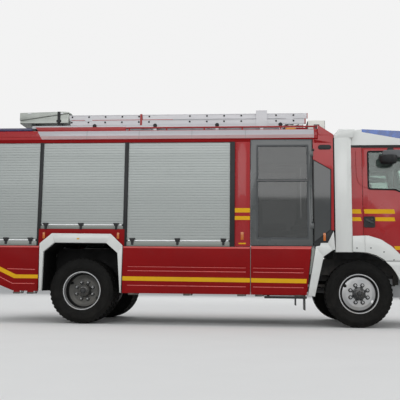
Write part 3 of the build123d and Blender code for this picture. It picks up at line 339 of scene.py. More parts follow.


# The middle flap and the band above the shutters get the darker red, painted shade
paint("body_panels", RED, (DARK_RED_SHADE, lambda x, y, z, n: 2834 < z < 2905 or -4946 < x < -3579 and z < 1470))
paint("body_fittings", BLACK,
      (LADDER, lambda x, y, z, n: 0 < z - ROOF_Z < 189 and x > -5000 or beam(y, z - ROOF_Z, n)),
      (SILL, lambda x, y, z, n: x < -1945 and (1203.5 < z < 1269 or 1463 < z < 1519.5)))
paint("roof_gallery", RAIL_RED)
paint("front_bumper", WHITE, (CHEQUER, lambda x, y, z, n: x < 1180 and y < BODY_HALF - 36))
paint("mast_lamps", CREAM)
paint("arch_trims", WHITE)
# The rear beacons get the darker blue: painted shade and a painted reflection of the red body
paint("rear_beacons", SHADED_BLUE)
EDGES = {"body_panels": 4, "cab_fairing": 12, "cab_fenders": 5, "arch_trims": 4, "front_bumper": 10,
         "cab_grille": 4, "roof_box": 2, "roof_box_lid": 4, "body_fittings": 1.5, "mast_lamps": 8,
         "mast_head": 3, "roof_gallery": 2, "powertrain": 12, "lamps": 3, "light_strips": 1.5,
         "rear_beacons": 6}
SIDE_EDGES = {"crew_door_": 4, "flap_rear_": 5, "flap_long_": 5, "flap_crew_": 5, "cab_door_": 2.5}
for node, width in EDGES.items():
    soften(node, width)
for _, side in SIDES:
    for node, width in SIDE_EDGES.items():
        soften(node + side, width)


# Pieces
def add(name, data):
    o = bpy.data.objects.new(name, data)
    scene.collection.objects.link(o)
    return o


def turns(count, start=0.0):
    """Equal turns round a circle, in radians."""
    return [start + 2 * pi * i / count for i in range(count)]


def place(a, b, c, axis):
    """A point from two in-plane values and the height along an axis."""
    return {"y": (a, c, b), "x": (c, a, b), "z": (a, b, c)}[axis]


def rect(a0, a1, b0, b1):
    return [(a0, b0), (a1, b0), (a1, b1), (a0, b1)]


def ys(s, *depths, half=BODY_HALF):
    """The y values on side s that lie so far outside a half width."""
    return [s * (half + depth) for depth in depths]


class Piece:
    """Faces gathered in millimetres, which become one object that rides on a body."""

    def __init__(self, name, body, *finishes):
        self.name, self.body, self.finishes = name, body, finishes
        self.bm = bmesh.new()
        self.finish = 0

    def use(self, number):
        """Choose the finish of the faces that follow."""
        self.finish = number
        return self

    def skin(self, rings, loop=False, caps=True):
        """Faces between rings of points; loop joins the last ring to the first."""
        rows = [[self.bm.verts.new(p) for p in ring] for ring in rings]
        n = len(rows[0])
        faces = []
        for a, b in zip(rows, rows[1:] + rows[:1] if loop else rows[1:]):
            faces += [self.bm.faces.new((a[i], a[(i + 1) % n], b[(i + 1) % n], b[i])) for i in range(n)]
        if caps and not loop:
            faces += [self.bm.faces.new(rows[0][::-1]), self.bm.faces.new(rows[-1])]
        for face in faces:
            face.material_index = self.finish

    def prism(self, outline, low, high, axis="y"):
        self.skin([[place(a, b, c, axis) for a, b in outline] for c in (low, high)])

    def box(self, x0, x1, y0, y1, z0, z1):
        self.prism(rect(x0, x1, z0, z1), y0, y1)

    def frame(self, outer, inner, low, high, axis="y"):
        """A flat ring between two outlines of equally many points."""
        rings = []
        for a, b in zip(outer, inner):
            rings.append([place(*p, c, axis) for p, c in ((a, low), (a, high), (b, high), (b, low))])
        self.skin(rings, loop=True)

    def lathe(self, profile, centre, axis="y", steps=40, caps=True):
        """Turn (offset, radius) points about an axis through centre."""
        rings = []
        for offset, r in profile:
            ring = [place(r * cos(t), r * sin(t), offset, axis) for t in turns(steps)]
            rings.append([[c + d for c, d in zip(centre, point)] for point in ring])
        self.skin(rings, caps=caps)

    def tube(self, points, radius, steps=12, loop=False):
        """Sweep a circle along points."""
        pts = [Vector(p) for p in points]
        rings, side = [], None
        for i, p in enumerate(pts):
            before = pts[i - 1] if i or loop else p
            after = pts[(i + 1) % len(pts)] if loop or i + 1 < len(pts) else p
            way = (after - before).normalized()
            if side is None:
                side = way.orthogonal().normalized()
            side = (side - way * side.dot(way)).normalized()
            up = way.cross(side)
            rings.append([p + (side * cos(t) + up * sin(t)) * radius for t in turns(steps)])
        self.skin(rings, loop=loop)

    def done(self, bevel=0.0, replaces=(), angle=35):
        bmesh.ops.recalc_face_normals(self.bm, faces=self.bm.faces)
        for v in self.bm.verts:
            v.co = metres(v.co)
        mesh = bpy.data.meshes.new(self.name)
        self.bm.to_mesh(mesh)
        self.bm.free()
        for material in self.finishes:
            mesh.materials.append(material)
        o = add(self.name, mesh)
        round_edges(o, bevel, angle)
        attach(o, self.body)
        if replaces:
            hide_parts(*replaces)


def rounded(points, r, steps=5):
    """An outline with its corners rounded."""
    result = []
    for i, p in enumerate(points):
        here, a, b = Vector(p), Vector(points[i - 1]), Vector(points[(i + 1) % len(points)])
        u, v = (a - here).normalized(), (b - here).normalized()
        reach = min(r, (a - here).length / 2.1, (b - here).length / 2.1)
        for k in range(steps + 1):
            t = k / steps
            result.append(tuple(here + u * reach * (1 - t) ** 2 + v * reach * t ** 2))
    return result


def grown(points, d):
    """Every side of an outline moved outwards by d."""
    pts = [Vector(p) for p in points]
    after = pts[1:] + pts[:1]
    s = 1 if sum(p.x * b.y - b.x * p.y for p, b in zip(pts, after)) > 0 else -1
    result = []
    for a, p, b in zip(pts[-1:] + pts[:-1], pts, after):
        u, v = (p - a).normalized(), (b - p).normalized()
        nu, nv = Vector((u.y, -u.x)) * s, Vector((v.y, -v.x)) * s
        result.append(tuple(p + (nu + nv) * d / max(0.3, 1 + nu.dot(nv))))
    return result


# Tyres with a lug tread
LUGS = 44
# Inner and outer offset, share of the pitch, phase, skew and outer drop of each row of lugs
LUG_ROWS = ((4, 46, 0.66, 0.0, 0.35, 0), (58, 124, 0.58, 0.5, 0.15, 7))
# Half of the outline of a tyre, as (offset, radius) points
WALL = [(-92, 287), (-105, 297), (-112, 312), (-125, 330), (-130, 352), (-133, 354), (-134.5, 372),
        (-137, 378), (-137.5, 420), (-134, 448), (-131, 450), (-127, 470), (-112, TYRE_R - 13)]


def lug(x, y, sign, number, inner, outer, share, phase, skew, drop):
    """Foot and top outlines of one tread lug."""
    rings = []
    for r, shrink in ((TYRE_R - 16, 0.0), (TYRE_R, 0.04)):
        ring = []
        for a, along in ((inner, 0), (outer, 0), (outer, 1), (inner, 1)):
            lean = skew * (a - inner) / (outer - inner)
            turn = 2 * pi * (number + phase + along * share + lean + shrink * (1 - 2 * along)) / LUGS
            level = r - (drop if a == outer else 0)
            ring.append((x + level * cos(turn), y + sign * (a + shrink * 30), AXLE_Z + level * sin(turn)))
        rings.append(ring)
    return rings


def tyre_piece(name, body, places, node):
    piece = Piece(name, body, TYRE)
    for x, y in places:
        piece.lathe(WALL + [(-a, r) for a, r in reversed(WALL)], (x, y, AXLE_Z), steps=2 * LUGS, caps=False)
        for i in range(LUGS):
            for sign, shift in ((-1, 0), (1, 0.25)):
                for row in LUG_ROWS:
                    piece.skin(lug(x, y, sign, i + shift, *row))
    piece.done(replaces=[node], angle=50)


for s, side in SIDES:
    tyre_piece("tyre_front_look_" + side, "wheel_front_" + side, [(0, s * TRACK_HALF)], "tyre_front_" + side)
    twins = [(REAR_AXLE, s * TRACK_HALF), (REAR_AXLE, s * (TRACK_HALF - TWIN_SPACING))]
    tyre_piece("tyres_rear_look_" + side, "wheel_rear_" + side, twins, "tyres_rear_" + side)


# Wheel nuts in black rings, hub caps
STUD_TURNS = turns(8, radians(22.5))


def wheel_trim(s, body, x, face, hub_end, hub_r):
    nuts = Piece("nut_rings_" + body, body, GLOSS_BLACK, RIM)
    for t in STUD_TURNS:
        at = (x + STUD_R * cos(t), s * face, AXLE_Z + STUD_R * sin(t))
        nuts.use(0).lathe([(0, 33), (s * 7, 32), (s * 9, 29), (s * 9, 19)], at, steps=20)
        nut = [(s * 26, 16.9), (s * 34, 16), (s * 38, 12), (s * 38, 9), (s * 46, 8)]
        nuts.use(1).lathe(nut, at, steps=12)
    nuts.done(bevel=1.0)
    hub = Piece("hub_cap_" + body, body, GLOSS_BLACK, IRON)
    hub.lathe([(0, hub_r), (s * 6, hub_r), (s * 10, hub_r - 8), (s * 10, hub_r - 26), (s * 22, hub_r - 34),
               (s * 24, 8)], (x, s * hub_end, AXLE_Z), steps=36)
    for t in turns(8):
        bolt = (x + (hub_r - 15) * cos(t), s * hub_end, AXLE_Z + (hub_r - 15) * sin(t))
        hub.use(1).lathe([(s * 8, 9), (s * 18, 8)], bolt, steps=6)
    hub.done(bevel=1.0)


for s, side in SIDES:
    wheel_trim(s, "wheel_front_" + side, 0, FRONT_FACE, TRACK_HALF + 150, 60)
    wheel_trim(s, "wheel_rear_" + side, REAR_AXLE, REAR_FACE, TRACK_HALF + 18, 66)


# Yellow stripes
def tape(name, body, s, outlines, half=BODY_HALF):
    piece = Piece("stripe_" + name, body, YELLOW)
    for outline in outlines:
        piece.prism(outline, *ys(s, -0.5, 0.8, half=half))
    piece.done()


def band(x0, x1, z0, z1, lean0=0.0, lean1=0.0):
    """A level stripe whose ends lean by the given run."""
    return [(x0, z0), (x1, z0), (x1 + lean1, z1), (x0 + lean0, z1)]


FLAP_STRIPES = {
    "flap_long_": [(-3598, 669), (-1636, 660), (-1636, 725), (-3598, 734)],
    "flap_crew_": [(-1620, 660), (-790, 655), (-783, 720), (-1620, 725)],
    "flap_rear_": [(-4931, 688), (-4931, 746), (-5282, 746), (-6066, 1102), (-6066, 1034), (-5308, 688)]}
STRIPES = ((1611, 1670), (1726, 1794))
for s, side in SIDES:
    for flap, outline in FLAP_STRIPES.items():
        tape(flap + side, flap + side, s, [outline])
    tape("pillar_" + side, "chassis", s, [band(-1870, -1637, *z) for z in STRIPES])
    tape("cab_" + side, "cab", s, [band(-86, 70, *z, 0, -14) for z in STRIPES], CAB_HALF)
    tape("door_" + side, "cab_door_" + side, s,
         [band(116, 575, *STRIPES[1], -12, -14), band(274, 575, *STRIPES[0], 0, -14),
          [(567, 1174), (1024, 1170), (1024, 1226), (548, 1230)]], CAB_HALF)


# Rubber seals round the windows
WINDOW = [(185, 2691), (185, 2111), (593, 2101), (657, 2067), (985, 2067), (985, 2250), (905, 2691)]
CORNER_WINDOW = [(-668, 2549), (-398, 2393), (-411, 1463), (-668, 1264)]
for s, side in SIDES:
    seal = Piece("window_seal_cab_" + side, "cab_door_" + side, RUBBER)
    seal.frame(rounded(grown(WINDOW, 16), 46), rounded(grown(WINDOW, -9), 30), *ys(s, -8, 4, half=CAB_HALF))
    seal.done(bevel=2.5)
    seal = Piece("window_seal_crew_" + side, "crew_door_" + side, SEAL_GREY, GLOSS_BLACK)
    for pane in (rect(-1520, -758, 1336, 2213), rect(-1520, -758, 2237, 2763)):
        seal.frame(rounded(grown(pane, 20), 24), rounded(grown(pane, -9), 16), *ys(s, -6, 4))
    seal.use(1).box(-1536, -742, *ys(s, -6, 9), 2218, 2232)
    seal.done(bevel=2)
    seal = Piece("corner_glass_seal_" + side, "chassis", RUBBER)
    seal.frame(grown(CORNER_WINDOW, 1), grown(CORNER_WINDOW, -10), *ys(s, -2, 3))
    seal.done(bevel=1.5)


# Slatted shutters with bottom rails, lift bars and latches
def curtain(piece, z0, sign, face, ends, axis, first=32):
    """Slats over a darker backing, the first of them so far above z0, then the rail under them."""
    def run(number, section):
        piece.use(number).prism([(sign * (face + d), z) for d, z in section], *ends, axis)

    run(1, rect(-8, -2.5, z0, SHUTTER_TOP))
    z = z0 + first
    while z < SHUTTER_TOP - 12:
        top = min(z + SLAT_PITCH - 3, SHUTTER_TOP)
        run(0, [(-5, z), (-0.25, z + 0.5), (0, z + 7), (0, top - 7), (-0.25, top - 0.5), (-5, top)])
        z += SLAT_PITCH
    run(0, [(-6, z0), (10, z0), (10, z0 + 36), (6, z0 + 40), (-6, z0 + 40)])


# Ends, foot, height of the lift bar and of the latch's grip and tip over it, and first slat of each shutter
CURTAINS = ((-6009, -4974, 1268, 18, 55, -49, 4), (-4921, -3607, 1519, 8, 36, -64, 22),
            (-3546, -1948, 1268, 18, 55, -49, 17))
LATCHES = (-5470, -5074, -4838, -4276, -3715, -3457, -2752, -2043)
shutters = Piece("shutter_slats", "chassis", SHUTTER, GROOVE)
for s, side in SIDES:
    bars = Piece("shutter_bars_" + side, "chassis", BRIGHT, BLACK)
    for x0, x1, z, lift, grip, tip, first in CURTAINS:
        curtain(shutters, z, s, BODY_HALF - 18, (x0, x1), "x", first)
        y = s * (BODY_HALF - 5)
        bars.use(0).tube([(x0 + 6, y, z + lift), (x1 - 6, y, z + lift)], 8)
        for x in (x0 + 10, x1 - 10):
            bars.use(1).box(x - 9, x + 9, *ys(s, -9, 8), z + lift - 14, z + lift + 14)
        for x in LATCHES:
            if x0 < x < x1:
                top = z + grip
                bars.prism([(x - 44, top), (x + 44, top), (x + 41, top - 22), (x + 24, top - 42),
                            (x - 24, top - 42), (x - 41, top - 22)], *ys(s, -8, 19))
                bars.prism([(x - 22, top - 36), (x + 22, top - 36), (x + 16, z + tip), (x - 16, z + tip)],
                           *ys(s, -2.5, 9))
    bars.done(bevel=2)
curtain(shutters, 1202, -1, -BODY_REAR - 6, (-699, 699), "y")
shutters.done(replaces=["roller_shutters"])

# Ladder details: rung ends, red end caps, edge strips, coupling sleeve
ladder_low, ladder_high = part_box("ladder")
LADDER_Y = (ladder_low.y + ladder_high.y) * 500 + 14.15
RUNGS = [-4580 + 280 * i for i in range(14) if i not in (5, 6)] + [-3290]


def beside(sign, half, *depths):
    """The y values so far outside a half width of the ladder."""
    return [LADDER_Y + y for y in ys(sign, *depths, half=half)]


trim = Piece("ladder_trim", "chassis", RUBBER, RAIL_RED, LADDER)
for sign in (-1, 1):
    for z, half, cap in ((ROOF_Z + 240.3, 215, -760), (ROOF_Z + 338, 190, -720)):
        for x in RUNGS:
            trim.use(0).box(x - 13, x + 13, *beside(sign, half, -2, 4.5), z + 39, z + 65)
        trim.use(1).box(cap - 6, cap + 6, *beside(sign, half, -28, 2), z - 2, z + 86)
        for edge in (z + 6, z + 78):
            trim.use(2).box(-4590, -770, *beside(sign, half, -1, 3), edge - 5, edge + 5)
    trim.use(1).box(-3438, -3404, *beside(sign, 191, 0, 30), ROOF_Z + 238, ROOF_Z + 425)
    trim.box(-4585, -2900, *beside(sign, 192, 0, 15), ROOF_Z + 325.5, ROOF_Z + 336.5)
trim.done(bevel=1)


# Mirrors: base, V arms, kerb dish, head, long arm, two glasses
def mirror_set(s, side):
    arm = CAB_HALF + 142
    piece = Piece("mirror_look_" + side, "cab_door_" + side, BLACK, DASH, MIRROR)
    piece.prism(rounded(rect(480, 570, 2697, 2747), 14), *ys(s, 0.3, 20, half=CAB_HALF))
    for x in (498, 552):
        piece.tube([(x, s * (CAB_HALF + 16), 2722), (440, s * arm, 2650)], 10)
    dish = [(-125, 0.01), (-123, 70), (-116, 98), (-100, 118), (-70, 130), (-30, 134), (0, 132), (8, 120),
            (12, 40)]
    piece.lathe(dish, (464, s * arm, 2592), "z")
    head = [(986, 48), (1050, 48), (1075, 90), (1075, 205), (1048, 258), (986, 258)]
    rings = []
    for z, inset in ((2060, 26), (2066, 12), (2085, 3), (2110, 0), (2580, 0), (2608, 3), (2624, 13),
                     (2630, 27)):
        rings.append([(x, s * (arm + y), z) for x, y in rounded(grown(head, -inset), 20)])
    piece.skin(rings)
    rings = []
    for x, y, z0, z1, half in ((374, 0, 2616, 2648, 12), (395, 0, 2600, 2680, 26), (480, 2, 2574, 2688, 34),
                               (640, 22, 2568, 2682, 32), (1000, 76, 2588, 2650, 22)):
        rings.append([(x, s * (arm + b), c) for b, c in rounded(rect(y - half, y + half, z0, z1), 14)])
    piece.use(1).skin(rings)
    for z0, z1 in ((2262, 2604), (2086, 2238)):
        glass = rounded(rect(62, 244, z0, z1), 16)
        piece.use(2).prism([(s * (arm + y), z) for y, z in glass], 983.6, 990, "x")
    piece.done(bevel=1, replaces=["mirrors_" + side])


# Cab sides: pressed crease, rain gutter, fender screws, seam and lip, handle, step treads
def cab_side(s, side):
    y = s * (CAB_HALF + 0.5)
    press = Piece("cab_pressings_" + side, "cab", DARK_RED_SHADE, BLACK, GROOVE, RUBBER)
    # The crease bead is in the darker red, painted shade along the pressing
    press.tube([(0, y, 2708), (-3, y, 2500), (0, y, 2330), (14, y, 2250), (44, y, 2190), (86, y, 2150)], 3.5)
    press.use(1).tube([(x, s * (CAB_HALF + 2), 2789) for x in (-326, 1032)], 6)
    for x, z in ((-30, 1191), (177, 1193), (368, 1134), (511, 1016)):
        press.lathe([(s * -2, 10), (s * 2, 10), (s * 3.5, 7)], (x, s * BODY_HALF, z), steps=14)
    press.use(2).box(89, 92.4, *ys(s, -3, 0.6), 1124, 1378)
    lip = [(-86, 1133), (91, 1123), (146, 1115), (256, 1081), (340, 1035), (384, 1005)]
    press.use(3).tube([(x, s * (BODY_HALF - 5), z) for x, z in lip], 6)
    press.done()
    door = Piece("cab_door_trim_" + side, "cab_door_" + side, DARK_RED_SHADE, BLACK, GLOSS_BLACK)
    # The crease runs on over the door, also in the darker red as painted shade
    door.tube([(97, y, 2145), (180, y, 2117), (196, y, 2112)], 3.5)
    outer = rounded([(99, 1513), (256, 1511), (268, 1530), (268, 1668), (252, 1683), (99, 1680)], 22)
    inner = rounded([(116, 1532), (240, 1530), (250, 1544), (250, 1656), (238, 1665), (116, 1663)], 16)
    door.use(1).frame(outer, inner, *ys(s, 0.2, 21, half=CAB_HALF))
    grip = rounded([(124, 1618), (238, 1566), (244, 1586), (150, 1648), (124, 1648)], 9)
    door.use(2).prism(grip, *ys(s, 18, 31, half=CAB_HALF))
    door.lathe([(s * 17, 11), (s * 22, 11), (s * 23, 8)], (222, s * CAB_HALF, 1636), steps=20)
    door.done(bevel=2)
    step = Piece("cab_step_treads_" + side, "chassis", CHEQUER, BLACK)
    for z, inner in ((450.3, -345), (730.3, -385)):
        step.box(745, 1126, *ys(s, inner, -155), z, z + 3)
    for z in (464, 746):
        step.use(1).tube([(x, s * (BODY_HALF - 25), z) for x in (742, 1128)], 9)
    step.done(bevel=0.8)


# Ends and radius of each flap rib, and the ends of the strips along the top edges; ribs and strips are in a
# lighter red, a painted highlight
RIBS = {
    "flap_rear_": ((-5424, 834, -4980, 825, 6.8), (-5336, 608, -4980, 608, 6.8),
                   (-6040, 949, -5336, 608, 6.8)),
    "flap_long_": ((-3520, 883, -1700, 877, 4.8), (-3520, 821, -1700, 815, 6.8),
                   (-3520, 598, -1700, 592, 6.8)),
    "flap_crew_": ((-1590, 876, -830, 873, 4.8), (-1590, 814, -830, 811, 6.8), (-1590, 591, -830, 588, 6.8))}
FLAP_TOPS = {"flap_rear_": (-6070, -4934), "flap_long_": (-3596, -1638), "flap_crew_": (-1618, -716)}


# Flap ribs, then the seam strip, pillar and arch markers, crew door sill and step beside the front wheel
def flap_trim(s, side):
    y = s * (BODY_HALF - 1)
    for flap, rows in RIBS.items():
        # The ribs are beads in the lighter red, a painted highlight
        piece = Piece(flap + "ribs_" + side, flap + side, HIGHLIGHT_RED)
        for x0, z0, x1, z1, r in rows:
            piece.tube([(x0, y, z0), (x1, y, z1)], r, steps=10)
        # The strip along the flap's top edge is a painted highlight
        piece.box(*FLAP_TOPS[flap], *ys(s, -3, 1.2), 1170, 1195)
        piece.done(bevel=0.8)
    strip = Piece("side_markers_" + side, "chassis", SILL, YELLOW, BLACK, HIGHLIGHT_RED)
    strip.box(-1631, -1625, *ys(s, -14, -3), 482, 1194)
    strip.prism([(-699, 1185), (-651, 1185), (-722, 790), (-742, 790)], *ys(s, -60, -6))
    strip.use(1).box(-1810, -1700, *ys(s, -0.5, 1), 1239, 1260)
    strip.box(-4330, -4290, *ys(s, 11.5, 14), 1298, 1318)
    # A strip in the lighter red along the crew flap's top edge: painted highlight
    strip.use(3).box(-1624, -700, *ys(s, -26, -6), 1198, 1211)
    strip.use(2).box(-1624, -700, *ys(s, -26, -8), 1211, 1219.5)
    strip.prism([(-1419, 424), (-790, 424), (-784, 436), (-784, 459), (-1419, 459)], *ys(s, -120, -2))
    for x in (-1360, -850):
        strip.box(x - 20, x + 20, *ys(s, -100, -60), 457, 489)
    strip.prism([(-817, 252), (-801, 249), (-801, 489), (-817, 489)], *ys(s, -350, -60))
    strip.done(bevel=1)


# Lower half of the light strip, as a pinkish reflector with joints
def strip_trim(s, side):
    piece = Piece("strip_reflector_" + side, "chassis", PINK, GROOVE)
    section = [(1243.9, 2896), (1246.1, 2896), (1237.3, 2949), (1235.1, 2949)]
    rear = [(-4958 if z < 2900 else -4996, s * y, z) for y, z in section]
    piece.skin([rear, [(-652, s * y, z) for y, z in section]])
    for x in (-4230, -3390, -2550, -1710):
        joint = [(s * 1244, 2894), (s * 1246.6, 2894), (s * 1224, 3029), (s * 1221.5, 3029)]
        piece.use(1).prism(joint, x - 3, x + 3, "x")
    piece.done()


# Hub stars: arms from the hub to the nut rings, and dark rings of painted shade in front of each rim's well
def hub_star(s, body, x, face, *shade_rings):
    """The shade rings are dark rubber rings in front of the rim, painted shade of the rim well behind the
    lip, each given as (offset, radius) points.
    """
    piece = Piece("hub_star_" + body, body, GLOSS_BLACK, RUBBER)
    piece.lathe([(0, 100), (s * 5, 99), (s * 9, 92), (s * 9, 62)], (x, s * (face + 0.3), AXLE_Z), steps=48)
    for t in STUD_TURNS:
        u, v = cos(t), sin(t)
        corners = ((84, -26), (122, -15), (122, 15), (84, 26))
        arm = [(x + u * r - v * w, AXLE_Z + v * r + u * w) for r, w in corners]
        piece.prism(arm, *ys(s, 0.6, 6.3, half=face))
    for well in shade_rings:
        rings = []
        for t in turns(72):
            rings.append([(x + r * cos(t), s * (TRACK_HALF + d), AXLE_Z + r * sin(t)) for d, r in well])
        piece.use(1).skin(rings, loop=True)
    piece.done()


# Rings of painted shade over the rim well behind the lip, for the front and the rear rims
FRONT_WELL_SHADE = ((102.6, 281), (98.4, 274), (66.8, 261), (71.6, 248.5), (70, 248.5), (65.4, 262.6),
              (97.8, 275.6), (101.4, 281.6))
REAR_WELL_SHADES = (((102.6, 281), (98.8, 275), (98, 276), (101.6, 281.6)),
              ((40, 270.8), (-59, 262.4), (-67, 246), (-65.5, 246), (-58, 260), (40, 268.8)))
for s, side in SIDES:
    mirror_set(s, side)
    cab_side(s, side)
    flap_trim(s, side)
    strip_trim(s, side)
    hub_star(s, "wheel_front_" + side, 0, FRONT_FACE, FRONT_WELL_SHADE)
    hub_star(s, "wheel_rear_" + side, REAR_AXLE, REAR_FACE, *REAR_WELL_SHADES)
    seam = Piece("fairing_seal_" + side, "chassis", RUBBER, DARK_RED_SHADE)
    seam.box(-352.6, -346.5, s * (CAB_HALF + 30), s * (BODY_HALF + 0.5), 1200, 2885)
    seam.box(-364, -352.8, *ys(s, -0.5, 0.8), 1452, 2885)
    # A triangle of darker red at the corner: painted shade
    seam.use(1).prism([(-655, 2864), (-655, 2811), (-384, 2809)], *ys(s, -0.5, 0.8))
    seam.done()


# Cab front: headlamps, bumper trim, blank plate, grille bars, wipers, strobes
def screen_x(z):
    """Face of the sloped windscreen at a height."""
    return 1275 - (z - 1960) * 0.1988


piece = Piece("headlamp_details", "chassis", BLACK, BRIGHT, LENS, AMBER)
for s in (-1, 1):
    bezel = rect(s * 757, s * 1083, 697, 853)
    piece.use(0).frame(bezel, grown(bezel, -15), 1370, BUMPER_X, "x")
    fog_lamp = (BUMPER_X + 1, s * 860, 635)
    piece.lathe([(-2, 40), (5, 40), (6, 34)], fog_lamp, "x", 28)
    piece.use(2).lathe([(5, 33), (8, 22), (9, 1)], fog_lamp, "x", 28)
    for y in (838, 948):
        lamp = (1372, s * y, 775)
        piece.use(1).lathe([(-1, 56), (4, 56), (5, 47), (1, 45)], lamp, "x", 36)
        piece.use(2).lathe([(0, 44), (3, 34), (4.5, 18), (5, 1)], lamp, "x", 36)
    piece.use(3).box(1371.5, 1375, s * 1016, s * 1064, 716, 834)
piece.done(bevel=1)
piece = Piece("bumper_details", "chassis", BLACK, WHITE, GROOVE, CHEQUER)
for i in range(5):
    piece.box(BUMPER_X, BUMPER_X + 6, -560, 560, 800 + 28 * i, 812 + 28 * i)
plate = rect(-272, 272, 628, 758)
piece.frame(plate, grown(plate, -14), BUMPER_X, BUMPER_X + 7, "x")
piece.use(1).box(BUMPER_X, BUMPER_X + 4, -260, 260, 640, 746)
piece.use(2).box(BUMPER_X - 1, BUMPER_X + 1.6, -566, 566, 796, 928)
for y in (-699.85, 699.85):
    piece.box(BUMPER_X, BUMPER_X + 1.8, y - 1.5, y + 1.5, 590, 995)
piece.use(3).box(1245, 1372, -690, 690, 1000.2, 1003)
piece.done(bevel=1)
cab = Piece("cab_front_trim", "cab", BLACK, BRIGHT, GLOSS_BLACK, BLUE, GROOVE)
for z in (1244, 1322, 1402, 1482, 1562):
    cab.use(1).box(1299, 1303, -604, 604, z, z + 7)
cab.use(2).box(CAB_FRONT, CAB_FRONT + 3.5, -930, 930, 1903, 1960)
for y0, y1 in ((-700, 60), (-10, 760)):
    cab.use(0).lathe([(-4, 26), (14, 24), (20, 12)], (1278, y0 + 30, 1935), "x", 20)
    tip = (screen_x(2030) + 10, y1 - 250, 2030)
    cab.tube([(1290, y0 + 30, 1935), (1284, (y0 + y1) / 2, 2002), tip], 7)
    cab.tube([(screen_x(2024) + 8, y0 + 60, 2014), (screen_x(2030) + 8, y1, 2044)], 6)
for s in (-1, 1):
    cab.use(0).box(CAB_FRONT, CAB_FRONT + 18, s * 470, s * 590, 1640, 1706)
    cab.use(3).box(CAB_FRONT + 16, CAB_FRONT + 30, s * 478, s * 582, 1648, 1698)
    cab.use(4).box(CAB_FRONT, CAB_FRONT + 1.8, s * 958, s * 961, 1180, 1890)
cab.box(CAB_FRONT, CAB_FRONT + 1.8, -958, 958, 1724, 1727)
cab.done(bevel=2)

# Roof: box straps and edges, ladder bed odds and ends, hatches, lamp faces
piece = Piece("roof_fixtures", "chassis", BLACK, ORANGE, DARK_RED_SHADE, SHEET, CREAM)
for x in (-4192, -3188, -2172, -1151):
    piece.lathe([(0, 33), (-3, 33), (-5, 30)], (x, -910.5, 3190), steps=28)
piece.box(-4826, -4775, -903.2, -899.5, 3241, 3376)
piece.box(-4840, -4761, -909, -902.5, 3262, 3300)
# A black strip along the foot of the roof box: partly the black bars there, partly painted shadow under the
# box
piece.box(-5457, -4640, -901.2, -899.6, 3241, 3249)
for x in (-1092, -1010, -925):
    piece.tube([(x, -880, 3120), (x + 8, -880, 3172), (x + 70, -880, 3190)], 9)
piece.box(-1115, -770, -905, -866, 3105, 3126)
for x in (-1060, -880):
    piece.box(x - 25, x + 25, -900, -870, ROOF_Z + 1, 3105)
sleeve = rounded([(-1084, 3036), (-925, 3034), (-925, 3068), (-1084, 3070)], 9)
piece.use(1).prism(sleeve, -1188, -1156)
handle = rounded([(-923, 3036), (-750, 3034), (-750, 3066), (-923, 3068)], 9)
piece.use(2).prism(handle, -1186, -1158)
cover = rounded([(-1040, 3128), (-800, 3128), (-800, 3168), (-1000, 3178), (-1040, 3160)], 12)
piece.use(4).prism(cover, -895, -868)
for x0, x1 in ((-3300, -2600), (-2300, -1700), (-4600, -3900)):
    hatch = rect(x0, x1, 240, 830)
    piece.use(3).prism(rounded(hatch, 40), DECK_Z, DECK_Z + 30, "z")
    piece.prism(rounded(grown(hatch, -45), 40), DECK_Z + 30.2, DECK_Z + 35, "z")
    for x in (x0 + 90, x1 - 90):
        piece.box(x - 35, x + 35, 224, 246, DECK_Z, DECK_Z + 24)
for x in (-5300, -1100):
    vent = [(0, 90), (26, 88), (30, 70), (52, 66), (60, 52), (62, 10)]
    piece.lathe(vent, (x, 520, DECK_Z - 0.5), "z", 32)
piece.done(bevel=1.5)
strap = Piece("roof_lid_strap", "roof_lid", BLACK, SHEET)
strap.box(-4826, -4775, -909.2, -905.6, 3378, 3440)
strap.box(-4826, -4775, -909, -120, 3437, 3441)
for x in (-5300, -4760):
    strap.use(1).box(x - 30, x + 30, -908.5, -905.7, 3400, 3420)
strap.done(bevel=0.8)
lamps = Piece("floodlight_details", "floodlights", BLACK, LENS, BRIGHT)
for s in (-1, 1):
    for z in (3240, 3326):
        face = rect(s * 10, s * 272, z, z + 78)
        pane = rect(s * 20, s * 262, z + 9, z + 69)
        lamps.use(0).frame(face, pane, -380, -372, "x")
        lamps.use(1).prism(pane, -380, -375, "x")
        for i in range(4):
            bulb = (-376, s * (50 + 60 * i), z + 39)
            lamps.use(2).lathe([(0, 22), (3, 20), (3.5, 12)], bulb, "x", 20)
    for i in range(7):
        lamps.use(0).box(-668, -654, s * (16 + 38 * i), s * (22 + 38 * i), 3244, 3400)
lamps.done(bevel=1)

# Rear end: lamp clusters, grab rails, reflectors, blank plate, tow hitch parts
piece = Piece("rear_details", "chassis", BLACK, LENS_RED, AMBER, LENS, BRIGHT, WHITE, YELLOW)
for s in (-1, 1):
    cluster = rect(s * 894, s * 1206, 1074, 1186)
    piece.use(0).frame(cluster, grown(cluster, -10), BODY_REAR - 28, BODY_REAR - 0.3, "x")
    for number, y0, y1 in ((3, 906, 996), (2, 1000, 1090), (1, 1094, 1194)):
        piece.use(number).box(BODY_REAR - 26, BODY_REAR - 21, s * y0, s * y1, 1086, 1174)
    piece.use(1).box(-6064, -6059, s * 1080, s * 1140, 664, 716)
    rail = [(BODY_REAR, 1290), (BODY_REAR - 36, 1310), (BODY_REAR - 36, 2180), (BODY_REAR, 2200)]
    piece.use(4).tube([(x, s * 780, z) for x, z in rail], 15)
    for z in range(1230, 2800, 160):
        slant = [(s * 830, z), (s * 1130, z + 120), (s * 1130, z + 170), (s * 830, z + 50)]
        piece.use(6).prism(slant, BODY_REAR - 1, BODY_REAR + 0.6, "x")
    piece.use(0).box(BODY_REAR - 6, BODY_REAR + 1, s * 1160, s * 1200, 2930, 2960)
    for y in (112, 140):
        for z in (790, 870):
            piece.lathe([(-4, 11), (-14, 10)], (-6060, s * y, z), "x", 6)
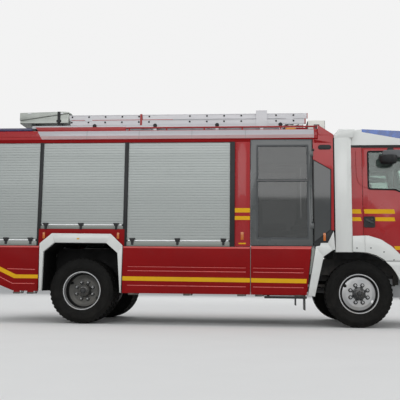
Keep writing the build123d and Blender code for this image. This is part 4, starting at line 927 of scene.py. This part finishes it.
piece.use(5).box(BODY_REAR - 4, BODY_REAR + 0.4, -760, -240, 900, 1010)
piece.use(0).box(BODY_REAR - 24, BODY_REAR + 1, -60, 60, 2870, 2940)
piece.lathe([(-40, 14), (40, 14), (44, 22), (52, 22)], (-6122, 0, 840), "z", 24)
piece.tube([(-6122, -16, 892), (-6122, 0, 915), (-6122, 16, 892)], 5)
piece.done(bevel=1.5)

# Underbody: spring bolts, air tanks, silencer, shaft joints, brake cans
piece = Piece("underbody_parts", "chassis", IRON, SHEET, ENGINE)
bolt = ((366, 470), (366, 655), (410, 668), (454, 655), (454, 470))
can = [(0, 66), (60, 70), (66, 60), (120, 58), (128, 40)]
for x in (0, REAR_AXLE):
    for s in (-1, 1):
        for bolt_x in (x - 52, x + 52):
            piece.tube([(bolt_x, s * y, z) for y, z in bolt], 9)
        piece.box(x - 75, x + 75, s * 358, s * 462, 640.8, 652)
        piece.lathe(can, (x - 150, s * 250, 600), "x", 28)
tank = [(0, 40), (14, 88), (24, 100), (616, 100), (626, 88), (640, 40)]
for y in (-300, 300):
    piece.use(1).lathe(tank, (-3300, y, 690), "x", 32)
silencer = [(0, 60), (10, 120), (20, 130), (640, 130), (650, 120), (660, 60)]
piece.use(2).lathe(silencer, (-1700, 330, 640), "x", 36)
piece.tube([(-1040, 330, 640), (-800, 330, 660), (-500, 250, 700)], 45)
for x, y, z, r in ((-935, 0, 765, 62), (-1770, 0, 745, 62), (-2185, 0, 700, 66), (-4020, 0, 545, 66),
                   (-205, 200, 520, 56)):
    joint = [(-34, r), (-12, r), (-8, r - 22), (8, r - 22), (12, r), (34, r)]
    piece.use(0).lathe(joint, (x, y, z), "x", 24)
piece.tube([(30, 330, 470), (-150, 520, 560), (-400, 560, 640)], 20)
piece.done(bevel=2)

# Seats: pads blown up by a cloth run, sewn channels, shells and bases
PAD_SHRINK, PAD_EDGE, PAD_GRID = 0.014, 0.022, 0.0105
PAD_SWELL, SWELL_LIMIT = 0.018, 0.024
PAD_PRESSURE, CLOTH_FRAMES = 4, 20
FLAT_FOOT = 0.02
SEAM_DEPTH, SEAM_WIDTH, BELL_BASE = 0.011, 0.009, 2.718


def pad_mesh(name, length, width, height, channels):
    """A crowned pad lying flat, in metres, its underside kept flat."""
    bm = bmesh.new()
    bmesh.ops.create_cube(bm, size=1)
    for v in bm.verts:
        v.co = Vector([c * (size - PAD_SHRINK) for c, size in zip(v.co, (length, width, height))])
    bmesh.ops.bevel(bm, geom=bm.edges[:], offset=PAD_EDGE, segments=3, affect="EDGES")
    mesh = bpy.data.meshes.new(name)
    bm.to_mesh(mesh)
    bm.free()
    o = add(name, mesh)
    grid = o.modifiers.new("grid", "REMESH")
    grid.mode, grid.voxel_size = "VOXEL", PAD_GRID
    fine = bpy.data.meshes.new_from_object(o.evaluated_get(bpy.context.evaluated_depsgraph_get()))
    o.modifiers.clear()
    o.data = fine
    start = [v.co.copy() for v in fine.vertices]

    cloth = o.modifiers.new("cloth", "CLOTH")
    cloth.settings.use_pressure = True
    cloth.settings.uniform_pressure_force = PAD_PRESSURE
    cloth.settings.effector_weights.gravity = 0
    cloth.point_cache.frame_start, cloth.point_cache.frame_end = 1, CLOTH_FRAMES
    for number in range(1, CLOTH_FRAMES + 1):
        scene.frame_set(number)
    blown = o.evaluated_get(bpy.context.evaluated_depsgraph_get()).to_mesh()
    end = [v.co.copy() for v in blown.vertices]
    o.modifiers.clear()
    scene.frame_set(1)
    for v, a, b in zip(fine.vertices, start, end):
        move = b - a
        if move.length > SWELL_LIMIT:
            move *= SWELL_LIMIT / move.length
        if a.z < FLAT_FOOT - height / 2:
            move.z = 0
        v.co = a + move
        if a.z > 0:
            for across, at_line in channels:
                gap = (a.x if across == "x" else a.y) - at_line
                v.co.z -= SEAM_DEPTH * BELL_BASE ** (-(gap / SEAM_WIDTH) ** 2)
    bpy.data.objects.remove(o)
    fine.shade_smooth()
    fine.materials.clear()
    fine.materials.append(FABRIC)
    return fine


SEAT_PAD = pad_mesh("seat_pad", 0.45, 0.46, 0.105, [("y", -0.15), ("y", 0.15), ("x", -0.06), ("x", 0.09)])
BACK_PAD = pad_mesh("back_pad", 0.62, 0.46, 0.085,
                    [("y", -0.15), ("y", 0.15), ("x", -0.16), ("x", 0.02), ("x", 0.17)])
HEAD_PAD = pad_mesh("head_pad", 0.19, 0.27, 0.08, [("y", 0.0)])


def lay_pad(name, mesh, body, at, turn, tip):
    """Copy a pad to its place: tip turns it about y, turn then about z."""
    copy = mesh.copy()
    copy.name = name
    copy.transform(Matrix.Translation(metres(at)) @ Matrix.Rotation(radians(turn), 4, "Z")
                   @ Matrix.Rotation(radians(tip), 4, "Y"))
    o = add(name, copy)
    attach(o, body)


def seat(name, body, x, y, z, turn):
    """A seat whose cushion is centred at x, y with its underside at z; it faces +x at turn 0."""
    f = 1 if turn == 0 else -1

    def section(*points):
        return [(x + f * a, z + b) for a, b in points]

    lay_pad(name + "_pad", SEAT_PAD, body, (x, y, z + 56), turn, -3)
    lay_pad(name + "_back", BACK_PAD, body, (x - f * 252, y, z + 400), turn, 84)
    lay_pad(name + "_head", HEAD_PAD, body, (x - f * 290, y, z + 790), turn, 86)
    shell = Piece(name + "_shell", body, DASH, BRIGHT, RUBBER)
    shell.prism(rounded(section((-296, 30), (-322, 40), (-358, 700), (-334, 712)), 9), y - 222, y + 222)
    shell.prism(rounded(section((-250, -26), (236, -26), (244, 2), (-250, 2)), 9), y - 226, y + 226)
    for post_y in (y - 60, y + 60):
        shell.use(1).tube([(x - f * 335, post_y, z + 690), (x - f * 322, post_y, z + 800)], 6)
    shell.use(2).prism(section((-286, 640), (-282, 642), (-190, 120), (-194, 118)), y + 150, y + 190)
    shell.lathe([(0, 14), (26, 14)], (x - f * 200, y - 235, z + 20), steps=14)
    shell.done(bevel=3)


for s, side in SIDES:
    seat("driver_seat_" + side, "cab", 500, s * 700, 1568, 0)
    seat("crew_jump_seat_" + side, "chassis", -715, s * 620, 1562, 180)
for number in range(4):
    seat(f"bench_seat_{number + 1}", "chassis", -1262, -735 + 490 * number, 1464, 0)

# Box and frames under the crew seats
piece = Piece("crew_seat_bases", "chassis", DASH, LINING, BRIGHT)
piece.box(-1560, -1300, -960, 960, 1215.5, 1418)
piece.prism([(-1600, 1418), (-1140, 1418), (-1130, 1440), (-1130, 1462), (-1600, 1462)], -1000, 1000)
for i in range(4):
    y = -940 + 480 * i
    piece.use(1).prism(rounded(rect(y, y + 460, 1240, 1400), 14), -1301, -1296, "x")
for y in (-620, 620):
    piece.use(0).box(-500, -383.5, y - 225, y + 225, 1540, 1640)
    for bar_y in (y - 180, y + 180):
        piece.use(2).tube([(-384, bar_y, 1500), (-600, bar_y, 1555), (-820, bar_y, 1555)], 14)
piece.done(bevel=3, replaces=["crew_seats"])

# Dashboard with dials and vents, steering wheel, bellows under the driver seats
piece = Piece("cab_dashboard", "cab", DASH, DARK, BRIGHT, BLACK, RUBBER)
board = [(905, 1640), (940, 1502), (1122, 1502), (1122, 1893), (1010, 1898), (930, 1872), (902, 1800)]
piece.prism(rounded(board, 16), -1076, 1076)
piece.box(1121, 1238, -958, 958, 1502, 1893)
hood = [(860, 1850), (905, 1800), (1040, 1880), (1010, 1960), (880, 1950), (856, 1900)]
piece.prism(rounded(hood, 18), 480, 920)
piece.use(1).box(892, 904, -150, 180, 1700, 1860)
for y in (600, 800):
    piece.use(2).lathe([(-4, 62), (0, 60), (2, 52)], (862, y, 1895), "x", 32)
for y in (-950, -620, -300, 330, 1000):
    piece.use(3).prism(rounded(rect(y - 70, y + 70, 1760, 1830), 12), 893, 905, "x")
WHEEL_TILT = radians(35)


def on_wheel(r, a):
    """A point of the steering wheel's plane."""
    return 800 + r * cos(a) * cos(WHEEL_TILT), 700 + r * sin(a), 1930 + r * cos(a) * sin(WHEEL_TILT)


piece.use(4).tube([on_wheel(210, a) for a in turns(40)], 16, loop=True)
for a in (90, 270, 180):
    piece.use(3).tube([(800, 700, 1922), on_wheel(205, radians(a))], 14)
piece.tube([(794, 700, 1938), (915, 700, 1766)], 42, steps=20)
for y in (-700, 700):
    for i in range(6):
        inset = 10 * (i % 2)
        fold = rect(330 + inset, 630 - inset, y - 140, y + 140)
        piece.prism(rounded(fold, 30), 1230 + 52 * i, 1282 + 52 * i, "z")
piece.done(bevel=3, replaces=["cab_interior"])

# Camera at the photograph's place
SENSOR = 36
FOCAL_PIXELS, PICTURE_PIXELS = 649.5, 400
EYE = (AXLE_X - 1.600, -11.201, 0.656)
yaw, pitch, roll = radians(4.65), radians(7.21), radians(0.61)
forward = Vector((-sin(yaw) * cos(pitch), cos(yaw) * cos(pitch), sin(pitch)))
right = Vector((cos(yaw), sin(yaw), 0))
up = right.cross(forward)
across = cos(roll) * right + sin(roll) * up
upward = -sin(roll) * right + cos(roll) * up
data = bpy.data.cameras.new("camera")
data.sensor_width = SENSOR
data.lens = SENSOR * FOCAL_PIXELS / PICTURE_PIXELS
data.clip_end = 2000
camera = add("camera", data)
rows = [(a, b, -c, d) for a, b, c, d in zip(across, upward, forward, EYE)]
camera.matrix_world = Matrix([*rows, (0, 0, 0, 1)])
scene.camera = camera

# Floor, sky and lamps
FLOOR_R = 300
floor = bpy.data.meshes.new("floor")
floor.from_pydata([(FLOOR_R * cos(t), FLOOR_R * sin(t), 0) for t in turns(64)], [], [range(64)])
o = add("floor", floor)
material = bpy.data.materials.new("floor")
material.use_nodes = True
tree = material.node_tree
shader = tree.nodes["Principled BSDF"]
shader.inputs["Roughness"].default_value = 0.9
coords = tree.nodes.new("ShaderNodeTexCoord").outputs["Object"]
shade = blend_colours(tree, socket_noise(tree, coords, 1.5), (0.74, 0.74, 0.73), (0.78, 0.78, 0.77))
link(tree, shade, shader.inputs["Base Color"])
floor.materials.append(material)
world = bpy.data.worlds.new("studio")
scene.world = world
world.use_nodes = True
tree = world.node_tree
sky = tree.nodes["Background"]
sky.inputs["Color"].default_value = (0.86, 0.89, 0.93, 1)
sky.inputs["Strength"].default_value = 0.42
back = tree.nodes.new("ShaderNodeBackground")
back.inputs["Color"].default_value = (0.895, 0.895, 0.895, 1)
rays = tree.nodes.new("ShaderNodeLightPath").outputs
seen = combine(tree, "MAXIMUM", rays["Is Camera Ray"], rays["Is Transmission Ray"])
seen = combine(tree, "MAXIMUM", seen, rays["Is Glossy Ray"])
mix = tree.nodes.new("ShaderNodeMixShader")
for i, socket in enumerate((seen, sky.outputs[0], back.outputs[0])):
    link(tree, socket, mix.inputs[i])
link(tree, mix.outputs[0], tree.nodes["World Output"].inputs["Surface"])
scene.view_settings.view_transform = "Standard"

# Place, target, width, height and power of each area lamp
LAMPS = {
    "side_box": ((-1, -19, 8.5), (0, 0, 1.6), 26, 8.5, 1500),
    "top_box": ((0, -2, 11), (0, 0, 0), 12, 6, 330),
    "far_box": ((0, 18, 9), (0, 0, 1.5), 22, 7, 950),
    "front_box": ((17, -3, 7), (2, 0, 1.5), 12, 6, 480),
    "rear_box": ((-17, 2, 7), (-2, 0, 1.5), 12, 6, 480)}
for name, (at, target, width, height, power) in LAMPS.items():
    data = bpy.data.lights.new(name, "AREA")
    data.shape = "RECTANGLE"
    data.size, data.size_y, data.energy = width, height, power
    lamp = add(name, data)
    lamp.location = at
    lamp.rotation_euler = (Vector(target) - Vector(at)).to_track_quat("-Z", "Y").to_euler()
